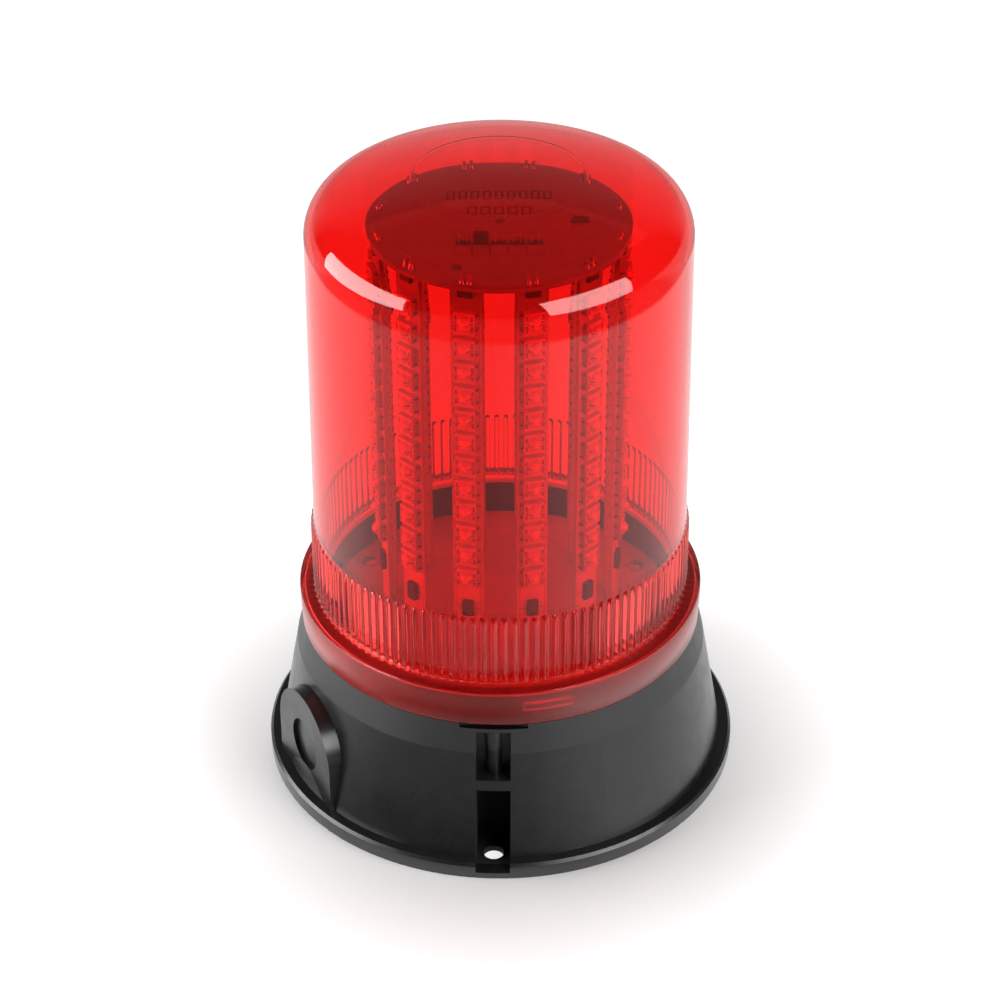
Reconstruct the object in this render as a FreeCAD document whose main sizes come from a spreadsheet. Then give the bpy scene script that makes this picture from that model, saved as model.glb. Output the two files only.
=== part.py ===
import FreeCAD, Part
import math
import os
import Sketcher

# Signal beacon with a turn-off lens over a tower of lamp strips.
# Origin at the middle of the underside, Z up, the front fixing recess towards -Y.

# Driving dimensions, in millimetres and degrees
SIZES = {
    # Housing, from the lens seat outwards and down
    "neck_radius": 71.8,
    "neck_wall": 2.2,
    "neck_rise": 10.6,
    "shoulder_inset": 0.9,
    "upper_flare": 2.8,
    "upper_band": 11.1,
    "crease_height": 48.5,
    "lower_flare": 7.5,
    "flange_width": 4.7,
    "flange_thickness": 6.0,
    "flange_edge": 1.0,
    "housing_wall": 3.0,
    # Fixing recesses
    "slot_count": 3,
    "slot_width": 12.6,
    "slot_floor": 2.4,
    "slot_wall": 2.5,
    "slot_depth": 11.8,
    "slot_bar_low": 33.5,
    "slot_bar_high": 37.5,
    "slot_upper_depth": 5.3,
    "slot_roof": 3.0,
    "slot_rib_radius": 3.0,
    "notch_width": 25.0,
    "notch_depth": 1.6,
    "fixing_inset": 11.8,
    "fixing_hole_radius": 3.75,
    # Cable entry with its knock-out
    "entry_turn": 60.0,
    "entry_proud": 6.2,
    "entry_thickness": 7.0,
    "entry_radius": 22.0,
    "entry_height": 23.0,
    "knockout_radius": 10.2,
    "knockout_depth": 1.6,
    "knockout_web": 2.0,
    # Underside gasket
    "gasket_inset": 2.6,
    "gasket_width": 3.2,
    "gasket_depth": 1.5,
    "gasket_play": 0.1,
    # Bayonet
    "cam_depth": 1.6,
    "cam_thickness": 2.0,
    "cam_start": 4.5,
    "cam_end": 22.0,
    "stop_width": 3.0,
    "stop_drop": 5.5,
    "bayonet_clearance": 0.4,
    "lug_gap": 0.3,
    "lug_thickness": 2.4,
    "lug_start": 8.5,
    "lug_width": 14.0,
    # Lens
    "lens_room": 21.4,
    "crown_radius": 178.0,
    "shoulder_round": 15.5,
    "lens_wall": 2.4,
    "ledge_step": 2.1,
    "wall_draft": 1.0,
    "collar_wall": 2.1,
    "collar_draft": 0.5,
    "collar_gap": 0.4,
    "collar_edge": 0.8,
    "ledge_thickness": 2.6,
    "seal_thickness": 1.4,
    "seal_gap": 0.2,
    "seal_play": 0.1,
    "grip_count": 120,
    "grip_radius": 1.45,
    "grip_gap": 1.1,
    "grip_length": 28.0,
    "grip_stand": 0.15,
    "crown_ring_radius": 30.0,
    "crown_ring_width": 0.8,
    "crown_ring_depth": 0.3,
    # Boards
    "board_thickness": 1.6,
    "board_clearance": 0.4,
    "board_drop": 2.6,
    "board_rim": 2.4,
    "post_radius": 4.5,
    "post_inset": 5.0,
    "screw_radius": 1.4,
    "screw_play": 0.05,
    "screw_length": 12.0,
    "screw_head_radius": 2.9,
    "screw_head_height": 2.1,
    "screw_slot_width": 0.8,
    "screw_slot_depth": 1.2,
    # Lamp strips
    "tower_turn": 2.0,
    "strip_count": 12,
    "strip_face": 44.2,
    "strip_width": 11.0,
    "strip_thickness": 1.6,
    "tongue_width": 1.1,
    "tongue_pitch": 2.6,
    "tongue_proud": 2.4,
    "tongue_play": 0.1,
    "solder_radius": 1.2,
    "solder_tip": 0.9,
    "solder_height": 1.2,
    "led_count": 12,
    "led_pitch": 9.6,
    "led_rise": 46.8,
    "strip_head": 8.8,
    "led_size": 7.6,
    "led_body": 2.6,
    "led_proud": 4.6,
    "led_dome_radius": 2.5,
    "driver_rise": 29.0,
    "driver_width": 3.8,
    "driver_length": 7.0,
    "driver_depth": 1.8,
    # Mode row on the top board
    "header_count": 5,
    "header_pitch": 6.2,
    "header_distance": 15.5,
    "header_width": 5.2,
    "header_length": 2.0,
    "header_height": 0.8,
    "pin_size": 0.64,
    "pin_pitch": 2.54,
    "pin_height": 2.4,
    "pin_tail": 1.5,
    "link_play": 0.12,
    "link_gap": 0.2,
    "link_height": 3.2,
    "chip_length": 10.0,
    "chip_width": 4.0,
    "chip_height": 1.7,
    "chip_offset": 8.0,
    "chip_lead_count": 8,
    "chip_lead_pitch": 1.27,
    "chip_lead_width": 0.45,
    "chip_lead_reach": 1.0,
    "chip_lead_height": 0.9,
    # Supply parts under the base board
    "terminal_count": 3,
    "terminal_pitch": 5.08,
    "terminal_offset": 6.8,
    "terminal_depth": 8.2,
    "terminal_height": 10.5,
    "terminal_port": 3.4,
    "terminal_port_depth": 5.5,
    "terminal_well_radius": 2.0,
    "terminal_well_depth": 2.6,
    "terminal_screw_radius": 1.75,
    "terminal_screw_height": 1.6,
    "capacitor_radius": 6.25,
    "capacitor_length": 20.0,
    "capacitor_spread": 8.5,
    "capacitor_distance": 26.0,
    "capacitor_edge": 0.8,
    "rectifier_width": 15.0,
    "rectifier_depth": 4.6,
    "rectifier_height": 11.0,
    "rectifier_corner": 2.5,
    "rectifier_across": 20.0,
    "rectifier_distance": 10.0,
    "core_width": 22.0,
    "core_depth": 7.0,
    "core_height": 15.0,
    "coil_width": 13.0,
    "coil_depth": 18.0,
    "coil_height": 10.0,
    "transformer_distance": 6.0,
    "transformer_across": 10.0,
}

# Heights and distances that follow from the driving dimensions, as formulas of the sheet
FORMULAS = {
    "shoulder_height": "crease_height + upper_band",
    "neck_height": "shoulder_height + neck_rise",
    "base_board_height": "shoulder_height - board_drop",
    "driver_low": "base_board_height + driver_rise",
    "led_low": "base_board_height + led_rise",
    "led_high": "led_low + led_pitch * (led_count - 1)",
    "top_board_height": "led_high + led_size / 2 + strip_head + board_thickness",
    "top_board_radius": "strip_face + board_rim",
    "lens_top": "top_board_height + lens_room",
    "terminal_distance": "strip_face + terminal_offset",
}
CELLS = {**SIZES, **{name: f"={formula}" for name, formula in FORMULAS.items()}}

# Sums of those dimensions that more than one piece uses
COLLAR_BORE = "neck_radius + cam_depth + bayonet_clearance"
COLLAR_RADIUS = COLLAR_BORE + " + collar_wall"
SHOULDER_RADIUS = COLLAR_RADIUS + " - shoulder_inset"
CREASE_RADIUS = SHOULDER_RADIUS + " + upper_flare"
FOOT_RADIUS = CREASE_RADIUS + " + lower_flare"
FLANGE_RADIUS = FOOT_RADIUS + " + flange_width"
NECK_BORE = "neck_radius - neck_wall"
SLOT_BACK = CREASE_RADIUS + " - slot_depth"
SLOT_UPPER_BACK = CREASE_RADIUS + " - slot_upper_depth"
SLOT_TOP = "shoulder_height - slot_roof"
POST_RING = SLOT_BACK + " - post_inset"
ENTRY_FACE = CREASE_RADIUS + " + entry_proud"
ENTRY_BACK = ENTRY_FACE + " - entry_thickness"
GASKET_OUTER = FLANGE_RADIUS + " - gasket_inset"
GASKET_INNER = GASKET_OUTER + " - gasket_width"
BASE_BOARD_UNDER = "base_board_height - board_thickness"
TOP_BOARD_UNDER = "top_board_height - board_thickness"
STRIP_BACK = "strip_face - strip_thickness"
STRIP_ANGLE = "360 / strip_count / 2"
COLLAR_BOTTOM = "shoulder_height + collar_gap"
LEDGE_UNDER = "neck_height + seal_thickness + seal_gap"
LEDGE_TOP = LEDGE_UNDER + " + ledge_thickness"
LENS_FOOT = "neck_radius - ledge_step"
LENS_HEAD = LENS_FOOT + " - wall_draft"
GRIP_BOTTOM = LEDGE_TOP + " + grip_gap"
GRIP_TOP = GRIP_BOTTOM + " + grip_length"
HEADER_TOP = "top_board_height + header_height"
LUG_TOP = "neck_height - cam_thickness - lug_gap"

UPRIGHT = FreeCAD.Vector(0, 0, 1)
ORIGIN = FreeCAD.Vector(0, 0, 0)

doc = FreeCAD.newDocument("signal_beacon")
sheet = doc.addObject("Spreadsheet::Sheet", "dims")
for row, (name, value) in enumerate(CELLS.items(), start=1):
    sheet.set(f"A{row}", name)
    sheet.set(f"B{row}", str(value))
    sheet.setAlias(f"B{row}", name)
doc.recompute()

nodes = []


def bind(expression):
    """Expression on the sheet's cells for a sum such as "neck_radius - neck_wall"."""
    words = expression.split()
    return " ".join(f"dims.{word}" if word in CELLS else word for word in words)


def size(expression):
    """Present value of such a sum; products and quotients bind before sums."""
    total = 0.0
    term = 0.0
    step = "+"
    for word in expression.split():
        if word in "+-*/":
            step = word
            continue
        number = float(getattr(sheet, word)) if word in CELLS else float(word)
        if step == "*":
            term *= number
        elif step == "/":
            term /= number
        else:
            total += term
            term = number if step == "+" else -number
    return total + term


def minus(expression):
    """The same sum with every sign turned round."""
    turned = {"+": "-", "-": "+"}
    words = [turned.get(word, word) for word in expression.split()]
    return "- " + " ".join(words)


def new_body(label, is_node=True):
    body = doc.addObject("PartDesign::Body", label)
    body.Label = label
    if is_node:
        nodes.append(body)
    return body


def turn_node(node, expression, axis=UPRIGHT):
    """Turn a finished piece about the upright axis of the beacon."""
    node.Placement = FreeCAD.Placement(ORIGIN, FreeCAD.Rotation(axis, size(expression)))
    node.setExpression("Placement.Rotation.Angle", bind(expression))


def origin_feature(body, role):
    for feature in body.Origin.OriginFeatures:
        if feature.Role == role:
            return feature
    raise ValueError(role)


def new_sketch(body, name, role, lift="0", turn=None, axis=UPRIGHT):
    """Sketch on an origin plane of the body, lifted off it and turned about an axis of the plane."""
    sketch = body.newObject("Sketcher::SketchObject", f"{body.Name}_{name}_sketch")
    sketch.AttachmentSupport = (origin_feature(body, role), [""])
    sketch.MapMode = "FlatFace"
    rotation = FreeCAD.Rotation(axis, size(turn)) if turn else FreeCAD.Rotation()
    sketch.AttachmentOffset = FreeCAD.Placement(UPRIGHT * size(lift), rotation)
    sketch.setExpression("AttachmentOffset.Base.z", bind(lift))
    if turn:
        sketch.setExpression("AttachmentOffset.Rotation.Angle", bind(turn))
    return sketch


def fix_point(sketch, geometry, end, x_size, y_size):
    """Hold one end of a sketch element at the given sizes from the sketch origin."""
    for kind, value, axis in (("DistanceX", x_size, -2), ("DistanceY", y_size, -1)):
        if value == "0":
            sketch.addConstraint(Sketcher.Constraint("PointOnObject", geometry, end, axis))
        else:
            index = sketch.addConstraint(Sketcher.Constraint(kind, -1, 1, geometry, end, size(value)))
            sketch.setExpression(f"Constraints[{index}]", bind(value))


def add_outline(sketch, points):
    """Closed outline of straight lines through the points, each held by its two sizes."""
    corners = [FreeCAD.Vector(size(x), size(y), 0) for x, y in points]
    first = sketch.GeometryCount
    count = len(corners)
    for index in range(count):
        line = Part.LineSegment(corners[index], corners[(index + 1) % count])
        sketch.addGeometry(line, False)
    for index in range(count):
        after = first + (index + 1) % count
        sketch.addConstraint(Sketcher.Constraint("Coincident", first + index, 2, after, 1))
        fix_point(sketch, first + index, 1, *points[index])


def add_block(sketch, left, right, low, high):
    add_outline(sketch, [(left, low), (right, low), (right, high), (left, high)])


def add_circle(sketch, x, y, radius):
    circle = Part.Circle(FreeCAD.Vector(size(x), size(y), 0), UPRIGHT, size(radius))
    index = sketch.addGeometry(circle, False)
    fix_point(sketch, index, 3, x, y)
    held = sketch.addConstraint(Sketcher.Constraint("Radius", index, size(radius)))
    sketch.setExpression(f"Constraints[{held}]", bind(radius))


def add_axis(sketch, start, end):
    """Construction line that a later revolution turns about."""
    line = Part.LineSegment(*[FreeCAD.Vector(size(x), size(y), 0) for x, y in (start, end)])
    index = sketch.addGeometry(line, True)
    fix_point(sketch, index, 1, *start)
    fix_point(sketch, index, 2, *end)


def new_feature(body, kind, name, sketch):
    feature = body.newObject(f"PartDesign::{kind}", f"{body.Name}_{name}")
    feature.Profile = sketch
    sketch.Visibility = False
    return feature


def check_cut(feature):
    """A cut that takes nothing away points the wrong way."""
    doc.recompute()
    if feature.BaseFeature.Shape.Volume - feature.Shape.Volume < 1e-6:
        raise RuntimeError(f"{feature.Name} removes nothing")


def pad(body, name, sketch, length, down=False):
    feature = new_feature(body, "Pad", name, sketch)
    feature.setExpression("Length", bind(length))
    feature.Reversed = down
    return feature


def pocket(body, name, sketch, length, up=False):
    feature = new_feature(body, "Pocket", name, sketch)
    feature.setExpression("Length", bind(length))
    feature.Reversed = up
    check_cut(feature)
    return feature


def revolve(body, name, sketch, angle="360", axis="V_Axis"):
    feature = new_feature(body, "Revolution", name, sketch)
    feature.ReferenceAxis = (sketch, [axis])
    feature.setExpression("Angle", bind(angle))
    return feature


def groove(body, name, sketch):
    feature = new_feature(body, "Groove", name, sketch)
    feature.ReferenceAxis = (sketch, ["V_Axis"])
    feature.Angle = 360
    check_cut(feature)
    return feature


def polar(body, name, originals, count):
    """Repeat features evenly about the upright axis."""
    doc.recompute()
    pattern = body.newObject("PartDesign::PolarPattern", f"{body.Name}_{name}")
    pattern.Originals = originals
    pattern.Axis = (origin_feature(body, "Z_Axis"), [""])
    pattern.Angle = 360
    pattern.setExpression("Occurrences", bind(count))
    body.Tip = pattern


def linear(body, name, originals, role, pitch, count):
    """Repeat features along an axis of the body at an even pitch."""
    doc.recompute()
    pattern = body.newObject("PartDesign::LinearPattern", f"{body.Name}_{name}")
    pattern.Originals = originals
    pattern.Direction = (origin_feature(body, role), [""])
    pattern.setExpression("Length", bind(f"{pitch} * {count} - {pitch}"))
    pattern.setExpression("Occurrences", bind(count))
    body.Tip = pattern


def make_housing_outside():
    """Outer form of the housing as a full solid, with the cable entry towards the front."""
    body = new_body("housing_outside", is_node=False)
    sketch = new_sketch(body, "wall", "XZ_Plane")
    add_outline(sketch, [
        ("0", "0"),
        (FLANGE_RADIUS, "0"),
        (FLANGE_RADIUS, "flange_thickness - flange_edge"),
        (FLANGE_RADIUS + " - flange_edge", "flange_thickness"),
        (FOOT_RADIUS, "flange_thickness"),
        (CREASE_RADIUS, "crease_height"),
        (SHOULDER_RADIUS, "shoulder_height"),
        ("neck_radius", "shoulder_height"),
        ("neck_radius", "neck_height"),
        ("0", "neck_height"),
    ])
    revolve(body, "wall", sketch)

    sketch = new_sketch(body, "entry_head", "XZ_Plane")
    add_circle(sketch, "0", "entry_height", "entry_radius")
    pad(body, "entry_head", sketch, ENTRY_FACE)
    sketch = new_sketch(body, "entry_foot", "XZ_Plane")
    add_block(sketch, "- entry_radius", "entry_radius", "0", "entry_height")
    pad(body, "entry_foot", sketch, ENTRY_FACE)
    sketch = new_sketch(body, "knockout", "XZ_Plane", lift=ENTRY_FACE)
    add_circle(sketch, "0", "entry_height", "knockout_radius")
    pocket(body, "knockout", sketch, "knockout_depth")

    sketch = new_sketch(body, "gasket_seat", "XZ_Plane")
    add_block(sketch, GASKET_INNER, GASKET_OUTER, "0", "gasket_depth")
    groove(body, "gasket_seat", sketch)
    add_fixing_recesses(body)
    add_bayonet_cams(body)
    return body


def add_fixing_recesses(body):
    """Recess with a hole in its floor, a bar across it and a ribbed window above the bar."""
    outside = minus(FLANGE_RADIUS + " + flange_edge")
    sketch = new_sketch(body, "recess", "XY_Plane", "slot_floor", "entry_turn")
    add_block(sketch, "- slot_width / 2", "slot_width / 2", outside, minus(SLOT_BACK))
    recess = pocket(body, "recess", sketch, "slot_bar_low - slot_floor", up=True)

    sketch = new_sketch(body, "window", "XY_Plane", "slot_bar_high", "entry_turn")
    add_block(sketch, "- slot_width / 2", "slot_width / 2", outside, minus(SLOT_UPPER_BACK))
    window = pocket(body, "window", sketch, SLOT_TOP + " - slot_bar_high", up=True)

    sketch = new_sketch(body, "window_rib", "XY_Plane", "slot_bar_high", "entry_turn")
    add_circle(sketch, "0", minus(SLOT_UPPER_BACK), "slot_rib_radius")
    rib = pad(body, "window_rib", sketch, SLOT_TOP + " - slot_bar_high")

    sketch = new_sketch(body, "notch", "XY_Plane", "shoulder_height - notch_depth", "entry_turn")
    add_block(sketch, "- notch_width / 2", "notch_width / 2", outside, minus(COLLAR_BORE))
    notch = pocket(body, "notch", sketch, "notch_depth", up=True)

    sketch = new_sketch(body, "fixing_hole", "XY_Plane", turn="entry_turn")
    add_circle(sketch, "0", minus(FLANGE_RADIUS + " - fixing_inset"), "fixing_hole_radius")
    hole = pocket(body, "fixing_hole", sketch, "slot_floor", up=True)
    polar(body, "recesses", [recess, window, rib, notch, hole], "slot_count")


def add_bayonet_cams(body):
    """Cams round the neck that hold the lens lugs down, each with an end stop."""
    leftwards = FreeCAD.Vector(0, -1, 0)
    sketch = new_sketch(body, "cam", "XZ_Plane", "0", "90 - entry_turn + cam_end", leftwards)
    add_block(sketch, NECK_BORE, "neck_radius + cam_depth", "neck_height - cam_thickness", "neck_height")
    cam = revolve(body, "cam", sketch, "cam_end - cam_start")
    stop_turn = "90 - entry_turn + cam_end + stop_width"
    sketch = new_sketch(body, "stop", "XZ_Plane", "0", stop_turn, leftwards)
    add_block(sketch, NECK_BORE, "neck_radius + cam_depth", "neck_height - stop_drop", "neck_height")
    stop = revolve(body, "stop", sketch, "stop_width")
    polar(body, "cams", [cam, stop], "slot_count")


def make_housing_core():
    """Room inside the housing, less the recess walls, board posts and entry pad."""
    body = new_body("housing_core", is_node=False)
    over = "housing_wall"
    sketch = new_sketch(body, "room", "XZ_Plane")
    add_outline(sketch, [
        ("0", "- " + over),
        (FOOT_RADIUS + " - housing_wall", "- " + over),
        (FOOT_RADIUS + " - housing_wall", "slot_floor"),
        (CREASE_RADIUS + " - housing_wall", "crease_height"),
        (SHOULDER_RADIUS + " - housing_wall", "shoulder_height - housing_wall"),
        (NECK_BORE, "shoulder_height - housing_wall"),
        (NECK_BORE, "neck_height + " + over),
        ("0", "neck_height + " + over),
    ])
    revolve(body, "room", sketch)

    outside = minus(FLANGE_RADIUS)
    half = "slot_width / 2 + slot_wall"
    sketch = new_sketch(body, "recess_wall", "XY_Plane", "- " + over, "entry_turn")
    add_block(sketch, minus(half), half, outside, minus(SLOT_BACK + " - slot_wall"))
    recess = pocket(body, "recess_wall", sketch, "slot_bar_high + " + over, up=True)
    sketch = new_sketch(body, "window_wall", "XY_Plane", "- " + over, "entry_turn")
    add_block(sketch, minus(half), half, outside, minus(SLOT_UPPER_BACK + " - slot_wall"))
    window = pocket(body, "window_wall", sketch, "shoulder_height + " + over, up=True)
    sketch = new_sketch(body, "post", "XY_Plane", "- " + over, "entry_turn")
    add_circle(sketch, "0", minus(POST_RING), "post_radius")
    post = pocket(body, "post", sketch, BASE_BOARD_UNDER + " + " + over, up=True)
    sketch = new_sketch(body, "pilot", "XY_Plane", BASE_BOARD_UNDER + " - screw_length", "entry_turn")
    add_circle(sketch, "0", minus(POST_RING), "screw_radius + screw_play")
    pilot = pad(body, "pilot", sketch, "screw_length + board_thickness")
    polar(body, "posts", [recess, window, post, pilot], "slot_count")

    sketch = new_sketch(body, "entry_head", "XZ_Plane", lift=ENTRY_BACK)
    add_circle(sketch, "0", "entry_height", "entry_radius")
    pocket(body, "entry_head", sketch, "entry_thickness", up=True)
    sketch = new_sketch(body, "entry_foot", "XZ_Plane", lift=ENTRY_BACK)
    add_block(sketch, "- entry_radius", "entry_radius", "- " + over, "entry_height")
    pocket(body, "entry_foot", sketch, "entry_thickness", up=True)
    sketch = new_sketch(body, "entry_bore", "XZ_Plane", lift=ENTRY_BACK + " - knockout_web")
    add_circle(sketch, "0", "entry_height", "knockout_radius")
    pad(body, "entry_bore", sketch, "entry_thickness - knockout_depth")
    return body


def make_housing():
    """Housing as its outer form less the room inside it, turned so that a recess is in front."""
    housing = doc.addObject("Part::Cut", "base_housing")
    housing.Label = "base_housing"
    housing.Base = make_housing_outside()
    housing.Tool = make_housing_core()
    turn_node(housing, "entry_turn", -UPRIGHT)
    nodes.append(housing)


def make_gasket():
    body = new_body("base_gasket")
    sketch = new_sketch(body, "ring", "XZ_Plane")
    inner = GASKET_INNER + " + gasket_play"
    outer = GASKET_OUTER + " - gasket_play"
    add_block(sketch, inner, outer, "0", "gasket_depth - gasket_play")
    revolve(body, "ring", sketch)


def make_seal():
    body = new_body("lens_seal")
    sketch = new_sketch(body, "ring", "XZ_Plane")
    low = "neck_height + seal_play"
    high = "neck_height + seal_thickness"
    add_block(sketch, NECK_BORE + " + seal_play", "neck_radius - seal_play", low, high)
    revolve(body, "ring", sketch)


def add_dome(sketch, start, inset):
    """Drafted wall, shoulder arc and crown arc, tangent to each other, up to the axis.

    The inset is the distance inwards from the outer face.  Returns the wall and the crown.
    """
    head = LENS_HEAD + inset
    shoulder = size("shoulder_round" + inset)
    crown = size("crown_radius" + inset)
    middle = size("lens_top - crown_radius")
    reach = size(LENS_HEAD + " - shoulder_round")
    swing = size("crown_radius - shoulder_round")
    blend = math.acos(reach / swing)
    bend = FreeCAD.Vector(reach, middle + swing * math.sin(blend), 0)
    foot = FreeCAD.Vector(size(start[0]), size(start[1]), 0)
    wall = sketch.addGeometry(Part.LineSegment(foot, bend + FreeCAD.Vector(shoulder, 0, 0)), False)
    circle = Part.Circle(bend, UPRIGHT, shoulder)
    round_arc = sketch.addGeometry(Part.ArcOfCircle(circle, 0, blend), False)
    circle = Part.Circle(FreeCAD.Vector(0, middle, 0), UPRIGHT, crown)
    crown_arc = sketch.addGeometry(Part.ArcOfCircle(circle, blend, math.pi / 2), False)
    fix_point(sketch, wall, 1, *start)
    index = sketch.addConstraint(Sketcher.Constraint("DistanceX", -1, 1, wall, 2, size(head)))
    sketch.setExpression(f"Constraints[{index}]", bind(head))
    sketch.addConstraint(Sketcher.Constraint("Tangent", wall, 2, round_arc, 1))
    sketch.addConstraint(Sketcher.Constraint("Tangent", round_arc, 2, crown_arc, 1))
    sketch.addConstraint(Sketcher.Constraint("PointOnObject", crown_arc, 3, -2))
    fix_point(sketch, crown_arc, 2, "0", "lens_top" + inset)
    for arc, value in ((round_arc, "shoulder_round"), (crown_arc, "crown_radius")):
        index = sketch.addConstraint(Sketcher.Constraint("Radius", arc, size(value + inset)))
        sketch.setExpression(f"Constraints[{index}]", bind(value + inset))
    return wall, crown_arc


def make_lens():
    """Dome with a drafted wall, standing on a ledge with a collar that reaches over the neck."""
    body = new_body("lens")
    sketch = new_sketch(body, "wall", "XZ_Plane")
    bore = LENS_FOOT + " - lens_wall"
    skirt = [
        (LENS_FOOT, GRIP_TOP),
        (LENS_FOOT, LEDGE_TOP),
        (COLLAR_RADIUS + " - collar_edge", LEDGE_TOP),
        (COLLAR_RADIUS, LEDGE_TOP + " - collar_edge"),
        (COLLAR_RADIUS + " - collar_draft", COLLAR_BOTTOM),
        (COLLAR_BORE, COLLAR_BOTTOM),
        (COLLAR_BORE, LEDGE_UNDER),
        (bore, LEDGE_UNDER),
        (bore, GRIP_TOP),
    ]
    outer_wall, outer_crown = add_dome(sketch, skirt[0], "")
    inner_wall, inner_crown = add_dome(sketch, skirt[-1], " - lens_wall")
    apexes = [FreeCAD.Vector(0, size("lens_top" + inset), 0) for inset in ("", " - lens_wall")]
    middle = sketch.addGeometry(Part.LineSegment(*apexes), False)
    sketch.addConstraint(Sketcher.Constraint("Coincident", outer_crown, 2, middle, 1))
    sketch.addConstraint(Sketcher.Constraint("Coincident", inner_crown, 2, middle, 2))
    corners = [FreeCAD.Vector(size(x), size(y), 0) for x, y in skirt]
    previous = (outer_wall, 1)
    for index in range(1, len(skirt)):
        line = sketch.addGeometry(Part.LineSegment(corners[index - 1], corners[index]), False)
        sketch.addConstraint(Sketcher.Constraint("Coincident", line, 1, *previous))
        if index < len(skirt) - 1:
            fix_point(sketch, line, 2, *skirt[index])
        previous = (line, 2)
    sketch.addConstraint(Sketcher.Constraint("Coincident", inner_wall, 1, *previous))
    revolve(body, "wall", sketch)

    sketch = new_sketch(body, "crown_ring", "XZ_Plane")
    ring_drop = "crown_ring_radius * crown_ring_radius / crown_radius / 2 + crown_ring_depth"
    ring_floor = "lens_top - " + ring_drop.replace("+", "-")
    ring_edge = "crown_ring_radius + crown_ring_width"
    add_block(sketch, "crown_ring_radius", ring_edge, ring_floor, "lens_top")
    groove(body, "crown_ring", sketch)

    leftwards = FreeCAD.Vector(0, -1, 0)
    sketch = new_sketch(body, "lug", "XZ_Plane", "0", "90 - lug_start", leftwards)
    lug_inner = "neck_radius + bayonet_clearance"
    lug_root = COLLAR_RADIUS + " - collar_wall / 2"
    add_block(sketch, lug_inner, lug_root, LUG_TOP + " - lug_thickness", LUG_TOP)
    lug = revolve(body, "lug", sketch, "lug_width")
    polar(body, "lugs", [lug], "slot_count")

    sketch = new_sketch(body, "grip", "XZ_Plane")
    axis = LENS_FOOT + " + grip_stand"
    add_axis(sketch, (axis, GRIP_BOTTOM), (axis, GRIP_TOP))
    add_grip(sketch, axis)
    grip = revolve(body, "grip", sketch, axis="Axis0")
    polar(body, "grips", [grip], "grip_count")


def add_grip(sketch, axis):
    """Half outline of one grip rib: a rod with a round head, closed along its own axis."""
    bend_height = GRIP_TOP + " - grip_radius"
    edge = axis + " + grip_radius"
    corners = [(axis, GRIP_TOP), (axis, GRIP_BOTTOM), (edge, GRIP_BOTTOM), (edge, bend_height)]
    places = [FreeCAD.Vector(size(x), size(y), 0) for x, y in corners]
    lines = [
        sketch.addGeometry(Part.LineSegment(places[index], places[index + 1]), False)
        for index in range(len(places) - 1)
    ]
    centre = FreeCAD.Vector(size(axis), size(bend_height), 0)
    circle = Part.Circle(centre, UPRIGHT, size("grip_radius"))
    arc = sketch.addGeometry(Part.ArcOfCircle(circle, 0, math.pi / 2), False)
    for before, after in zip(lines, lines[1:]):
        sketch.addConstraint(Sketcher.Constraint("Coincident", before, 2, after, 1))
    for line, corner in zip(lines, corners):
        fix_point(sketch, line, 1, *corner)
    fix_point(sketch, arc, 3, axis, bend_height)
    sketch.addConstraint(Sketcher.Constraint("Tangent", lines[-1], 2, arc, 1))
    sketch.addConstraint(Sketcher.Constraint("Coincident", lines[0], 1, arc, 2))


def add_tongue_slots(body, turn, height):
    """Pairs of slots that the strip tongues pass through."""
    sketch = new_sketch(body, "tongue_slot", "XY_Plane", height, turn)
    low = minus("strip_face + tongue_play")
    high = minus(STRIP_BACK + " - tongue_play")
    inner = "tongue_pitch / 2 - tongue_width / 2 - tongue_play"
    outer = "tongue_pitch / 2 + tongue_width / 2 + tongue_play"
    add_block(sketch, inner, outer, low, high)
    add_block(sketch, minus(outer), minus(inner), low, high)
    slots = pocket(body, "tongue_slot", sketch, "board_thickness")
    polar(body, "tongue_slots", [slots], "strip_count")


def make_base_board():
    body = new_body("base_board")
    sketch = new_sketch(body, "disc", "XY_Plane", BASE_BOARD_UNDER)
    add_circle(sketch, "0", "0", NECK_BORE + " - board_clearance")
    pad(body, "disc", sketch, "board_thickness")
    sketch = new_sketch(body, "screw_hole", "XY_Plane", "base_board_height")
    add_circle(sketch, "0", minus(POST_RING), "screw_radius + screw_play")
    hole = pocket(body, "screw_hole", sketch, "board_thickness")
    polar(body, "screw_holes", [hole], "slot_count")
    add_tongue_slots(body, "tower_turn + " + STRIP_ANGLE, "base_board_height")


def make_board_screws():
    """Pan-head screws through the base board into the posts."""
    body = new_body("board_screws")
    sketch = new_sketch(body, "screw", "YZ_Plane")
    middle = minus(POST_RING)
    tip = BASE_BOARD_UNDER + " - screw_length + screw_play"
    crown = "base_board_height + screw_head_height"
    add_axis(sketch, (middle, tip), (middle, crown))
    add_outline(sketch, [
        (middle, tip),
        (middle + " + screw_radius", tip + " + screw_radius"),
        (middle + " + screw_radius", "base_board_height"),
        (middle + " + screw_head_radius", "base_board_height"),
        (middle + " + screw_head_radius", crown + " - screw_slot_width"),
        (middle + " + screw_head_radius - screw_slot_width", crown),
        (middle, crown),
    ])
    screw = revolve(body, "screw", sketch, axis="Axis0")
    half = "screw_slot_width / 2"
    reach = "screw_head_radius - screw_slot_width"
    cuts = []
    for name, across, along in (("slot_across", reach, half), ("slot_along", half, reach)):
        sketch = new_sketch(body, name, "XY_Plane", crown)
        low = minus(POST_RING + " + " + along)
        high = minus(POST_RING) + " + " + along
        add_block(sketch, minus(across), across, low, high)
        cuts.append(pocket(body, name, sketch, "screw_slot_depth"))
    polar(body, "screws", [screw] + cuts, "slot_count")


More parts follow.
